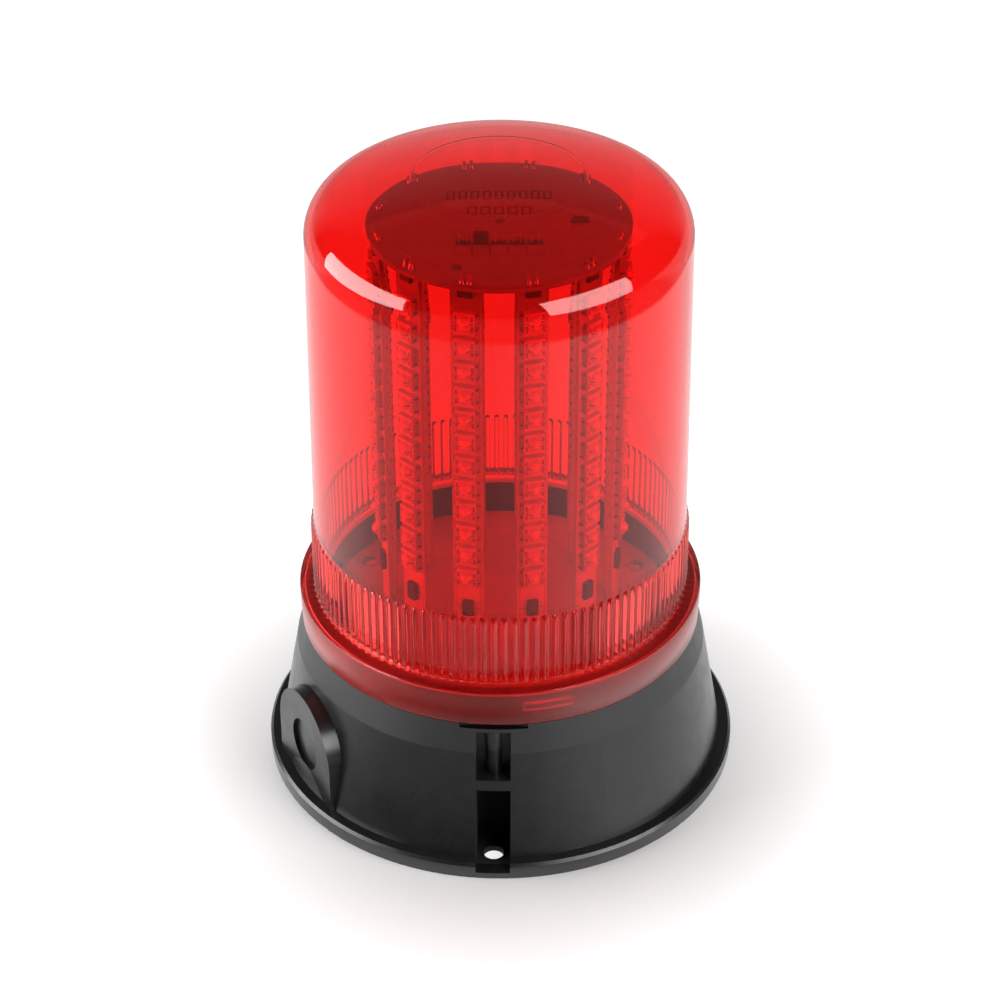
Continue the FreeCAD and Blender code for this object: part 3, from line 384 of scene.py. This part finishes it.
def led_finish():
    """Clear lamp bodies: pale resin over a dark two-part lead frame with a bright cup."""
    material, tree, shader = new_finish("led_clear")
    place = own_place(tree)
    across, along = strip_place(tree, axes(tree, place))
    frame_marks = patch(tree, across, along, FRAME_ACROSS, FRAME_ALONG)
    slit = patch(tree, across, along, SLIT_ACROSS, SLIT_ALONG)
    colour = clouds(tree, place, RESIN_CLOUD, RESIN_DARK, RESIN_PALE)
    colour = paint(tree, near(tree, across, *EDGE_SPAN), colour, RESIN_EDGE)
    colour = paint(tree, maths(tree, "MAXIMUM", frame_marks, slit), colour, LEAD_FRAME)
    colour = paint(tree, near(tree, span(tree, across, along), *CUP_SPAN), colour, BRIGHT_CUP)
    tree.links.new(colour, shader.inputs["Base Color"])
    shader.inputs["Subsurface Weight"].default_value = RESIN_MILK
    shader.inputs["Subsurface Radius"].default_value = (1.0, 1.0, 1.0)
    shader.inputs["Subsurface Scale"].default_value = RESIN_DEPTH * MM
    shader.inputs["Coat Weight"].default_value = RESIN_COAT
    shader.inputs["Coat Roughness"].default_value = RESIN_COAT_ROUGH
    rough_and_bump(tree, shader, place, roughness=0.22, grain_mm=0.5, depth_mm=0.01)
    return material


def strip_finish():
    """White lacquered strip board: supply tracks and ties, bare brown edges, and a painted shadow that
    darkens the head under the top board.
    """
    material, tree, shader = new_finish("strip_white")
    place = own_place(tree)
    parts = axes(tree, place)
    across, along = strip_place(tree, parts)
    colour = clouds(tree, place, STRIP_CLOUD, STRIP_DARK, STRIP_PALE)
    colour = paint(tree, near(tree, across, *TRACK_SPAN), colour, STRIP_TRACK)
    colour = paint(tree, patch(tree, across, along, TIE_ACROSS, TIE_ALONG), colour, STRIP_TRACK)
    colour = paint(tree, near(tree, across, *BARE_SPAN), colour, STRIP_EDGE)
    # Painted shadow: the strip darkens towards its top, as the shade that the top board casts on it
    head_shadow = spread(tree, parts["Z"], 0.0, SHADOW_SHARE, SHADOW_START * MM, SHADOW_END * MM)
    tree.links.new(paint(tree, head_shadow, colour, STRIP_HEAD_SHADOW), shader.inputs["Base Color"])
    rough_and_bump(tree, shader, place, roughness=0.4, grain_mm=0.5, depth_mm=0.02)
    return material


# Round boards; each row of boxes is middle, pitch, count, width, depth, line; each round mark place, radius

BOX_ROWS = ((-19.3, 6.2, 5, 6.2, 8.8, 0.22), (19.7, 4.3, 9, 3.0, 6.4, 0.75), (8.0, 4.8, 5, 3.6, 5.6, 0.75))
ROUND_MARKS = ((0.3, 1.3, 1.7), (-14.4, -32.5, 1.9))
BOARD_CLOUD = 12.0
RING_LINE, SPOKE_LINE, SPOKE_COUNT = 0.45, 0.3, 24
TRACK_SHADE, PALE_SHADE, PRINT_SHADE = 0.93, 1.08, 0.25


def box_row(tree, u, v, middle, pitch, count, width, depth, line):
    """1 on the outlines of a row of equal boxes, else 0; sizes in millimetres, the row's middle at u = 0."""
    along = maths(tree, "ABSOLUTE", wrap(tree, u, pitch * MM / 2))
    whole = patch(tree, along, v, (0.0, width / 2), (middle, depth / 2))
    bare = patch(tree, along, v, (0.0, width / 2 - line), (middle, depth / 2 - line))
    outline = maths(tree, "SUBTRACT", whole, bare)
    return maths(tree, "MULTIPLY", outline, near(tree, u, 0.0, pitch * count / 2))


def round_mark(tree, u, v, u_middle, v_middle, radius):
    """1 inside a round mark, else 0; sizes in millimetres."""
    across = maths(tree, "SUBTRACT", u, u_middle * MM)
    along = maths(tree, "SUBTRACT", v, v_middle * MM)
    return near(tree, span(tree, across, along), 0.0, radius)


def top_print(tree, place):
    """Share of dark print on the top board: a box for each mode, two rows of plain boxes, two round marks."""
    turn = add(tree, "ShaderNodeVectorRotate", {"rotation_type": "Z_AXIS"}, links={"Vector": place})
    turn.inputs["Angle"].default_value = -math.radians(TOWER_LEAN)
    parts = axes(tree, turn.outputs["Vector"])
    u, v = parts["X"], parts["Y"]
    marks = [box_row(tree, u, v, *row) for row in BOX_ROWS]
    marks += [round_mark(tree, u, v, *mark) for mark in ROUND_MARKS]
    share = marks[0]
    for mark in marks[1:]:
        share = maths(tree, "MAXIMUM", share, mark)
    return share


def board_finish(name, lacquer, rings, printing=None):
    """Lacquered round board: ring tracks at the given radii, spokes between them, fine weave, print."""
    material, tree, shader = new_finish(name)
    track = shade(lacquer, TRACK_SHADE)
    place = own_place(tree)
    parts = axes(tree, place)
    away = span(tree, parts["X"], parts["Y"])
    colour = clouds(tree, place, BOARD_CLOUD, lacquer, shade(lacquer, PALE_SHADE))
    for radius in rings:
        colour = paint(tree, near(tree, away, radius, RING_LINE), colour, track)
    angle = maths(tree, "ARCTAN2", parts["X"], parts["Y"])
    angle = maths(tree, "SUBTRACT", angle, math.radians(TOWER_LEAN))
    turn = wrap(tree, angle, math.pi / SPOKE_COUNT)
    beside = maths(tree, "ABSOLUTE", maths(tree, "MULTIPLY", turn, away))
    ring_span = ((rings[0] + rings[-1]) / 2, abs(rings[-1] - rings[0]) / 2)
    colour = paint(tree, patch(tree, beside, away, (0.0, SPOKE_LINE), ring_span), colour, track)
    if printing:
        colour = paint(tree, printing(tree, place), colour, shade(lacquer, PRINT_SHADE))
    tree.links.new(colour, shader.inputs["Base Color"])
    rough_and_bump(tree, shader, place, roughness=0.42, grain_mm=0.6, depth_mm=0.03)
    return material


PLAIN_FINISHES = {
    "gasket_rubber": dict(colour=(0.02, 0.02, 0.02), roughness=0.75, grain_mm=0.8, depth_mm=0.06),
    "seal_rubber": dict(colour=(0.03, 0.03, 0.032), roughness=0.65, grain_mm=0.6, depth_mm=0.05),
    "driver_black": dict(colour=(0.045, 0.045, 0.046), roughness=0.5, grain_mm=0.3),
    "solder_tin": dict(colour=(0.4, 0.4, 0.39), roughness=0.2, metal=1.0, grain_mm=0.5, depth_mm=0.04),
    "screw_steel": dict(colour=(0.62, 0.62, 0.6), roughness=0.32, metal=1.0, grain_mm=0.3),
    "header_black": dict(colour=(0.03, 0.028, 0.028), roughness=0.5, grain_mm=0.3),
    "pin_brass": dict(colour=(0.8, 0.66, 0.32), roughness=0.3, metal=1.0, grain_mm=0.3),
    "link_black": dict(colour=(0.016, 0.016, 0.016), roughness=0.42, grain_mm=0.3),
    "chip_black": dict(colour=(0.025, 0.025, 0.026), roughness=0.55, grain_mm=0.25),
    "terminal_green": dict(colour=(0.03, 0.22, 0.07), roughness=0.4, grain_mm=0.4),
    "capacitor_sleeve": dict(colour=(0.03, 0.04, 0.09), roughness=0.3, grain_mm=0.6),
    "ferrite_grey": dict(colour=(0.08, 0.08, 0.085), roughness=0.6, grain_mm=0.5, depth_mm=0.05),
}
FINISHES = {
    "housing_black": housing_finish(),
    "lens_red": lens_finish(),
    "led_clear": led_finish(),
    "strip_white": strip_finish(),
    "base_board_white": board_finish("base_board_white", (0.44, 0.44, 0.41), (48.0, 52.0, 58.0)),
    # Painted shade: the top board is white like the base board, but its lacquer is painted dark for the dim
    # light that reaches its upper face
    "top_board_white": board_finish("top_board_white", (0.18, 0.18, 0.16), (26.0, 33.0, 38.5), top_print),
}
FINISHES.update({name: plain_finish(name, **look) for name, look in PLAIN_FINISHES.items()})

NODE_FINISHES = {
    "base_housing": "housing_black", "base_gasket": "gasket_rubber", "lens_seal": "seal_rubber",
    "base_board": "base_board_white", "top_board": "top_board_white", "board_screws": "screw_steel",
    "strip_drivers": "driver_black", "solder_top": "solder_tin", "solder_bottom": "solder_tin",
    "mode_header": "header_black", "mode_header_pins": "pin_brass", "mode_link": "link_black",
    "controller_chip": "chip_black", "terminal_block": "terminal_green", "terminal_screws": "screw_steel",
    "smoothing_capacitors": "capacitor_sleeve", "bridge_rectifier": "chip_black",
    "supply_transformer": "ferrite_grey", "lens": "lens_red",
}
NODE_FINISHES.update({f"led_strip_{n:02d}": "strip_white" for n in range(1, STRIP_COUNT + 1)})
NODE_FINISHES.update({f"leds_{n:02d}": "led_clear" for n in range(1, STRIP_COUNT + 1)})
for node_name, finish in NODE_FINISHES.items():
    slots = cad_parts[node_name].data.materials
    slots.clear()
    slots.append(FINISHES[finish])


# Lens; profile points are (radius, height)

LENS_TOP, CROWN, ROUND = 245.0, 178.0, 15.5
LENS_FOOT, LENS_HEAD, LENS_WALL = 69.7, 68.7, 2.4
LENS_BORE = LENS_FOOT - LENS_WALL
LENS_CREASE = 35.0
CROWN_INSIDE_RING, CROWN_OUTSIDE_RING = [3.0, 10.0, 18.0, 25.0], [37.0, 44.0, 51.0]
CROWN_UNDERSIDE = [3.0, 14.0, 27.0, 40.0, 50.0]
ROUND_STEPS_OUTSIDE, ROUND_STEPS_INSIDE = 12, 9
RING_RADIUS, RING_HALF, RING_DEPTH = 30.4, 0.45, 0.06
RING_STEPS = np.array([-1.6, -1.0, -0.5, 0.5, 1.0, 1.6])
GRIP_COUNT, GRIP_HALF, GRIP_STAND, GRIP_BED = 120, 1.55, 0.85, 0.2
GRIP_STEPS = np.array([0.0, 0.25, 0.5, 0.75, 1.0])
GRIP_HEIGHTS = [103.9, 103.4, 102.9, 102.2, 101.4, 100.4, 99.8, 76.0, 75.4]
GRIP_RISE = [0.0, 0.0, 0.25, 0.6, 0.88]
FILLET = [(69.72, 74.9), (69.85, 74.55), (70.2, 74.4)]
COLLAR = [
    (75.2, 74.4), (75.65, 74.25), (75.9, 73.8), (75.42, 60.4),
    (75.12, 60.0), (74.1, 60.0), (73.8, 60.3), (73.8, 65.4),
]
LUG_ROWS = [(73.8, 65.55), (73.8, 67.85)]
UNDER_LEDGE = [(73.8, 68.0), (73.8, 71.4), (73.4, 71.8), (67.6, 71.8), (LENS_BORE, 72.1), (LENS_BORE, 103.5)]
LUG_COUNT, LUG_TURN, LUG_HALF, LUG_RADIUS = 3, 15.5, 7.0, 72.2


def dome_profile(inset, crown_radii, round_steps):
    """Radius and height of the crown arc from the axis outwards, then of the shoulder arc down to the wall.

    Both arcs are moved inwards by the inset; the crown's middle is on the axis, the shoulder's on a ring.
    """
    reach = LENS_HEAD - ROUND
    swing = CROWN - ROUND
    middle = LENS_TOP - CROWN
    tangent = math.acos(reach / swing)
    crown = CROWN - inset
    radii = np.append(crown_radii, crown * math.cos(tangent))
    crown_heights = middle + np.sqrt(crown**2 - radii**2)
    angles = np.linspace(tangent, 0.0, round_steps + 1)[1:]
    round_radii = reach + (ROUND - inset) * np.cos(angles)
    round_heights = middle + swing * math.sin(tangent) + (ROUND - inset) * np.sin(angles)
    return np.append(radii, round_radii), np.append(crown_heights, round_heights)


def lens_shape():
    """Closed wall of the lens: a profile turned about the axis, its radius changed by grips and lugs.

    The profile runs from the outer apex down the dome, wall, grip band, ledge and collar, and back up inside.
    The grip band is a low bed with a wave of grips on it: each is a raised cosine across; bed and grips fall
    to the wall at the top and stand on the ledge at the foot.
    """
    half_turn = math.pi / GRIP_COUNT
    right = GRIP_HALF * GRIP_STEPS / LENS_FOOT
    one_grip = np.concatenate([right, [half_turn], 2 * half_turn - right[:0:-1]])
    angles = (np.arange(GRIP_COUNT)[:, None] * 2 * half_turn + one_grip).ravel()

    ring_radii = RING_RADIUS + RING_HALF * RING_STEPS
    crown_radii = np.concatenate([CROWN_INSIDE_RING, ring_radii, CROWN_OUTSIDE_RING])
    outer_r, outer_z = dome_profile(0.0, crown_radii, ROUND_STEPS_OUTSIDE)
    ring_floor = len(CROWN_INSIDE_RING) + len(RING_STEPS) // 2
    outer_z[ring_floor - 1:ring_floor + 1] -= RING_DEPTH
    inner_r, inner_z = dome_profile(LENS_WALL, CROWN_UNDERSIDE, ROUND_STEPS_INSIDE)

    grips = [(LENS_FOOT, level) for level in GRIP_HEIGHTS] + FILLET
    skirt = np.array(grips + COLLAR + LUG_ROWS + UNDER_LEDGE)
    radius = np.concatenate([outer_r, skirt[:, 0], inner_r[::-1]])
    height = np.concatenate([outer_z, skirt[:, 1], inner_z[::-1]])
    radius = np.repeat(radius[:, None], len(angles), axis=1)
    height = np.repeat(height[:, None], len(angles), axis=1)

    first = len(outer_r)
    from_grip = (angles + half_turn) % (2 * half_turn) - half_turn
    across = np.minimum(np.abs(LENS_FOOT * from_grip / GRIP_HALF), 1.0)
    stand = GRIP_BED + GRIP_STAND * (0.5 + 0.5 * np.cos(math.pi * across))
    share = np.ones((len(grips), 1))
    share[:len(GRIP_RISE), 0] = GRIP_RISE
    radius[first:first + len(grips)] += share * stand

    first_lug = first + len(grips) + len(COLLAR)
    lugs = slice(first_lug, first_lug + len(LUG_ROWS))
    pitch = 2 * math.pi / LUG_COUNT
    from_lug = (angles - math.radians(LUG_TURN) + pitch / 2) % pitch - pitch / 2
    radius[lugs] = np.where(np.abs(from_lug) < math.radians(LUG_HALF), LUG_RADIUS, radius[lugs])

    rows = np.stack([radius * np.sin(angles), -radius * np.cos(angles), height], axis=-1)
    return skin(rows, (0.0, 0.0, LENS_TOP), (0.0, 0.0, LENS_TOP - LENS_WALL))


lens = new_piece("lens_clear", lens_shape(), "lens_cap", "lens_red", LENS_CREASE)
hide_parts("lens")


# Small parts of the lamp tower; a chip is width, depth, height and chamfer

LEAD_OUTSIDE = np.array([(3.7, 1.33), (4.43, 1.33), (4.43, 0.0)])
LEAD_INSIDE = np.array([(3.7, 1.07), (4.17, 1.07), (4.17, 0.0)])
LEAD_HALF, LEAD_LIFT = 0.3, 2.54
JOINT_SIDE, JOINT_RADIUS, JOINT_HEIGHT = 4.3, 0.8, 0.7
JOINT_EDGES, JOINT_WAIST, JOINT_CREASE = 8, 0.75, 60.0
BOARD_CHIP, CHIP_SIDE, CHIP_OUT = (5.4, 2.6, 1.5, 0.2), 28.2, -0.3
CHIP_END, CHIP_END_SIDE = (0.6, 2.4, 1.2, 0.15), 3.0
STRIP_CHIP, STRIP_CHIP_HEIGHT = (5.0, 3.0, 1.3, 0.2), 220.2
STRIP_TURNS = TOWER_TURN + np.arange(STRIP_COUNT) * 360.0 / STRIP_COUNT


def bent_lead(hand):
    """Flat lead bent once: four corners carried along a path that leaves the lamp and turns to the board."""
    corners = [(LEAD_OUTSIDE, -1), (LEAD_OUTSIDE, 1), (LEAD_INSIDE, 1), (LEAD_INSIDE, -1)]
    rows = np.stack([np.column_stack([path, np.full(3, side * LEAD_HALF)]) for path, side in corners], axis=1)
    rows[:, :, 0] *= hand
    return skin(rows, rows[0].mean(axis=0), rows[-1].mean(axis=0))


def round_joint():
    """Small heap of solder: a low arc turned about its own axis, standing towards the axis of the beacon."""
    turn = np.arange(JOINT_EDGES) * 2 * math.pi / JOINT_EDGES
    radii = np.array([[JOINT_RADIUS], [JOINT_RADIUS * JOINT_WAIST]])
    depths = np.repeat([[0.0], [-JOINT_HEIGHT * JOINT_WAIST]], JOINT_EDGES, axis=1)
    rows = np.stack([radii * np.cos(turn), depths, radii * np.sin(turn)], axis=-1)
    return skin(rows, (0.0, 0.0, 0.0), (0.0, -JOINT_HEIGHT, 0.0))


def chip(width, depth, height, edge):
    """Small block: a rectangle carried upwards, its last ring drawn in by the edge for a chamfer."""
    corners = np.array([(-0.5, -0.5), (0.5, -0.5), (0.5, 0.5), (-0.5, 0.5)])
    insets = np.array([0.0, 0.0, edge])
    levels = np.array([0.0, height - edge, height])
    rows = np.empty((3, 4, 3))
    rows[:, :, :2] = corners * (np.array([width, depth]) - 2 * insets[:, None])[:, None, :]
    rows[:, :, 2] = levels[:, None]
    return skin(rows, (0.0, 0.0, 0.0), (0.0, 0.0, height))


def facing_out(shape):
    """The shape with its height turned to point away from the axis of the beacon."""
    points = shape[0][:, [0, 2, 1]]
    return points, outward(points, shape[1])


def lamp_places(sides, lifts):
    """Angle, side and height of every (side, lift) pair on every lamp of every strip."""
    lamp = LED_LOW + np.arange(LED_COUNT) * LED_PITCH
    grids = np.meshgrid(STRIP_TURNS, lamp, np.arange(len(sides)), indexing="ij")
    pair = grids[2].ravel()
    return grids[0].ravel(), np.asarray(sides)[pair], grids[1].ravel() + np.asarray(lifts)[pair]


turns, across, lifts = lamp_places([0.0, 0.0], [-LEAD_LIFT, LEAD_LIFT])
leads = [copies(bent_lead(hand), turns, STRIP_FACE, across, lifts) for hand in (-1, 1)]
new_piece("lamp_leads", join(*leads), "base", "solder_tin")

turns, across, lifts = lamp_places(np.repeat([-JOINT_SIDE, JOINT_SIDE], 2), [-LEAD_LIFT, LEAD_LIFT] * 2)
joints = copies(round_joint(), turns, STRIP_BACK, across, lifts)
new_piece("lamp_joints", joints, "base", "solder_tin", JOINT_CREASE)

board_chip = copies(chip(*BOARD_CHIP), TOWER_LEAN, CHIP_OUT, CHIP_SIDE, TOP_BOARD)
new_piece("board_chip", board_chip, "base", "chip_black")
end_sides = CHIP_SIDE + np.array([-CHIP_END_SIDE, CHIP_END_SIDE])
chip_ends = copies(chip(*CHIP_END), TOWER_LEAN, CHIP_OUT, end_sides, TOP_BOARD)
new_piece("board_chip_ends", chip_ends, "base", "solder_tin")
strip_chips = copies(facing_out(chip(*STRIP_CHIP)), STRIP_TURNS, STRIP_FACE, 0.0, STRIP_CHIP_HEIGHT)
new_piece("strip_chips", strip_chips, "base", "chip_black")


# Floor; a reach is where a change starts and ends, in metres, and brightness is 1 for white

FLOOR_HALF, FLOOR_DROP, FLOOR_GREY = 4.0, 0.0002, 0.8
SHADE_FRONT, SHADE_REACH, SHADE_SHINE = 0.03, (0.065, 0.16), 0.64
DISTANT_REACH, DISTANT_SHINE = (0.4, 1.0), 0.36
UNDER_REACH, UNDER_SHINE = (0.083, 0.088), 0.8
TABLE_TURN, TABLE_FRONT, TABLE_EDGE = 20.0, 0.025, (0.458, 0.463)
FAR_AHEAD, FAR_BRIGHT = (0.5, 0.95), 0.4
CLOSE_AHEAD, CLOSE_REACH, CLOSE_BRIGHT = (0.5, 0.93), (0.13, 0.16), (0.05, 0.33)
FAR_REACH, FOOT_REACH = (0.19, 0.27), (0.094, 0.1)
ROOM_REACH, ROOM_BRIGHT = (0.15, 0.3), (0.1, 0.45)


def away_from(tree, place, ahead=0.0):
    """Distance of a place from a point that lies the given length in front of the axis."""
    moved = add(tree, "ShaderNodeVectorMath", {"operation": "ADD"}, {1: (0.0, ahead, 0.0)}, {0: place})
    length = add(tree, "ShaderNodeVectorMath", {"operation": "LENGTH"}, links={0: moved.outputs["Vector"]})
    return length.outputs["Value"]


def floor_shine(tree, place, away):
    """How far the floor is lifted to white: not in the beacon's shade, fully at a distance and under it."""
    lit = spread(tree, away_from(tree, place, SHADE_FRONT), 0.0, SHADE_SHINE, *SHADE_REACH)
    shine = maths(tree, "ADD", lit, spread(tree, away, 0.0, DISTANT_SHINE, *DISTANT_REACH))
    return maths(tree, "MAXIMUM", shine, spread(tree, away, UNDER_SHINE, 0.0, *UNDER_REACH))


def floor_mirrored(tree, place, away):
    """Brightness of the floor where it is mirrored: a lit table top in a dim room.

    The table is bright at the sides and the back, and dark to the front, most of all close to the beacon.
    """
    parts = axes(tree, place)
    turn = math.radians(TABLE_TURN)
    left = maths(tree, "MULTIPLY", parts["X"], -math.sin(turn))
    front = maths(tree, "MULTIPLY", parts["Y"], -math.cos(turn))
    ahead = maths(tree, "DIVIDE", maths(tree, "ADD", left, front), away)
    far = spread(tree, ahead, 1.0, FAR_BRIGHT, *FAR_AHEAD)
    dim = maths(tree, "SUBTRACT", 1.0, spread(tree, away, *CLOSE_BRIGHT, *CLOSE_REACH))
    facing = spread(tree, ahead, 0.0, 1.0, *CLOSE_AHEAD)
    close = maths(tree, "SUBTRACT", 1.0, maths(tree, "MULTIPLY", facing, dim))
    table = between(tree, spread(tree, away, 0.0, 1.0, *FAR_REACH), close, far)
    table = maths(tree, "MAXIMUM", table, spread(tree, away, 1.0, 0.0, *FOOT_REACH))
    on_table = spread(tree, away_from(tree, place, TABLE_FRONT), 1.0, 0.0, *TABLE_EDGE)
    room = spread(tree, parts["Y"], *ROOM_BRIGHT, *ROOM_REACH)
    return between(tree, on_table, room, table)


def stage_floor():
    """Pale floor: a flat grid of points, white where it is lit, grey in the shade of the beacon."""
    material = bpy.data.materials.new("floor_pale")
    material.use_nodes = True
    tree = material.node_tree
    tree.nodes.clear()
    path = add(tree, "ShaderNodeLightPath").outputs
    place = own_place(tree)
    away = away_from(tree, place)
    seen = maths(tree, "MAXIMUM", path["Is Camera Ray"], path["Is Transmission Ray"])
    shine = maths(tree, "MULTIPLY", seen, floor_shine(tree, place, away))
    grey = add(tree, "ShaderNodeBsdfDiffuse", values={"Color": (FLOOR_GREY, FLOOR_GREY, FLOOR_GREY, 1)})
    glow = add(tree, "ShaderNodeEmission", links={"Strength": shine})
    direct = add(tree, "ShaderNodeAddShader", links={0: grey.outputs["BSDF"], 1: glow.outputs["Emission"]})
    mirrored = add(tree, "ShaderNodeEmission", links={"Strength": floor_mirrored(tree, place, away)})
    bounced = maths(tree, "SUBTRACT", path["Is Glossy Ray"], path["Is Transmission Ray"])
    either = add(tree, "ShaderNodeMixShader", links={"Fac": maths(tree, "MAXIMUM", bounced, 0.0)})
    tree.links.new(direct.outputs["Shader"], either.inputs[1])
    tree.links.new(mirrored.outputs["Emission"], either.inputs[2])
    add(tree, "ShaderNodeOutputMaterial", links={"Surface": either.outputs["Shader"]})
    mesh = bpy.data.meshes.new("floor")
    x, y = np.meshgrid([-FLOOR_HALF, FLOOR_HALF], [-FLOOR_HALF, FLOOR_HALF])
    points = np.column_stack([x.ravel(), y.ravel(), np.full(x.size, -FLOOR_DROP)])
    mesh.from_pydata(points.tolist(), [], [[0, 1, 3, 2]])
    mesh.materials.append(material)
    floor = bpy.data.objects.new("floor", mesh)
    bpy.context.scene.collection.objects.link(floor)


# World, lamps and camera; the back wall's limits are parts of a direction of length 1

WALL_RISE, WALL_BRIGHT = (0.02, 0.62), (0.4, 0.09)
WALL_TOP, WALL_SIDE = (0.66, 0.685), (0.6, 0.8)
ROOM_DARK, SOFT_LIGHT, THROUGH_LIGHT = 0.008, 0.08, 0.65
LAMP_AIM = 0.2
SENSOR_WIDTH, FOCAL_LENGTH = 36.0, 103.05
CAMERA_PLACE = (0, -0.88859, 0.69945)
CAMERA_TURN, CAMERA_TILT, CAMERA_ROLL = 2.0, 56.317, -0.19


def stage_world():
    """White behind clear pieces, a dim room with a paler back wall where mirrored, a soft even light else."""
    world = bpy.data.worlds.new("studio")
    world.use_nodes = True
    tree = world.node_tree
    tree.nodes.clear()
    path = add(tree, "ShaderNodeLightPath").outputs
    parts = axes(tree, add(tree, "ShaderNodeTexCoord").outputs["Generated"])
    wall = spread(tree, parts["Z"], *WALL_BRIGHT, *WALL_RISE)
    wall = maths(tree, "MULTIPLY", wall, spread(tree, parts["Z"], 1.0, 0.0, *WALL_TOP))
    wall = maths(tree, "MULTIPLY", wall, spread(tree, parts["Y"], 0.0, 1.0, *WALL_SIDE))
    mirrored = maths(tree, "MAXIMUM", wall, ROOM_DARK)
    bounced = path["Is Glossy Ray"]
    soft = maths(tree, "MULTIPLY", maths(tree, "SUBTRACT", 1.0, bounced), SOFT_LIGHT)
    strength = maths(tree, "ADD", soft, maths(tree, "MULTIPLY", bounced, mirrored))
    through = maths(tree, "MULTIPLY", path["Is Transmission Ray"], THROUGH_LIGHT)
    seen = maths(tree, "MAXIMUM", path["Is Camera Ray"], through)
    strength = maths(tree, "MAXIMUM", strength, seen)
    white = {"Color": (1, 1, 1, 1)}
    background = add(tree, "ShaderNodeBackground", values=white, links={"Strength": strength})
    add(tree, "ShaderNodeOutputWorld", links={"Surface": background.outputs["Background"]})
    bpy.context.scene.world = world


def softbox(name, turn, rise, distance, width, height, power, mirrored=True):
    """Area lamp that faces the lens from the given turn from the front and rise, both in degrees."""
    data = bpy.data.lights.new(name, "AREA")
    data.shape = "RECTANGLE"
    data.size = width
    data.size_y = height
    data.energy = power
    lamp = bpy.data.objects.new(name, data)
    turning = Matrix.Rotation(math.radians(turn), 4, "Z") @ Matrix.Rotation(math.radians(90 - rise), 4, "X")
    lamp.matrix_world = Matrix.Translation((0, 0, LAMP_AIM)) @ turning @ Matrix.Translation((0, 0, distance))
    lamp.visible_camera = False
    lamp.visible_glossy = mirrored
    bpy.context.scene.collection.objects.link(lamp)


def stage_camera():
    """Camera at the height, distance and slope of the picture."""
    data = bpy.data.cameras.new("camera")
    data.sensor_width = SENSOR_WIDTH
    data.lens = FOCAL_LENGTH
    camera = bpy.data.objects.new("camera", data)
    turn = Matrix.Rotation(math.radians(CAMERA_TURN), 4, "Z")
    tilt = Matrix.Rotation(math.radians(CAMERA_TILT), 4, "X")
    roll = Matrix.Rotation(math.radians(CAMERA_ROLL), 4, "Z")
    camera.matrix_world = turn @ Matrix.Translation(CAMERA_PLACE) @ tilt @ roll
    bpy.context.scene.collection.objects.link(camera)
    bpy.context.scene.camera = camera


stage_floor()
stage_world()
softbox("left_softbox", turn=-79.0, rise=4.0, distance=0.62, width=0.7, height=0.32, power=5.0)
softbox("right_softbox", turn=53.0, rise=17.0, distance=0.7, width=0.66, height=0.42, power=5.0)
softbox("overhead", turn=180.0, rise=68.0, distance=1.1, width=1.1, height=1.1, power=3.0, mirrored=False)
stage_camera()
bpy.context.scene.view_settings.view_transform = "Standard"
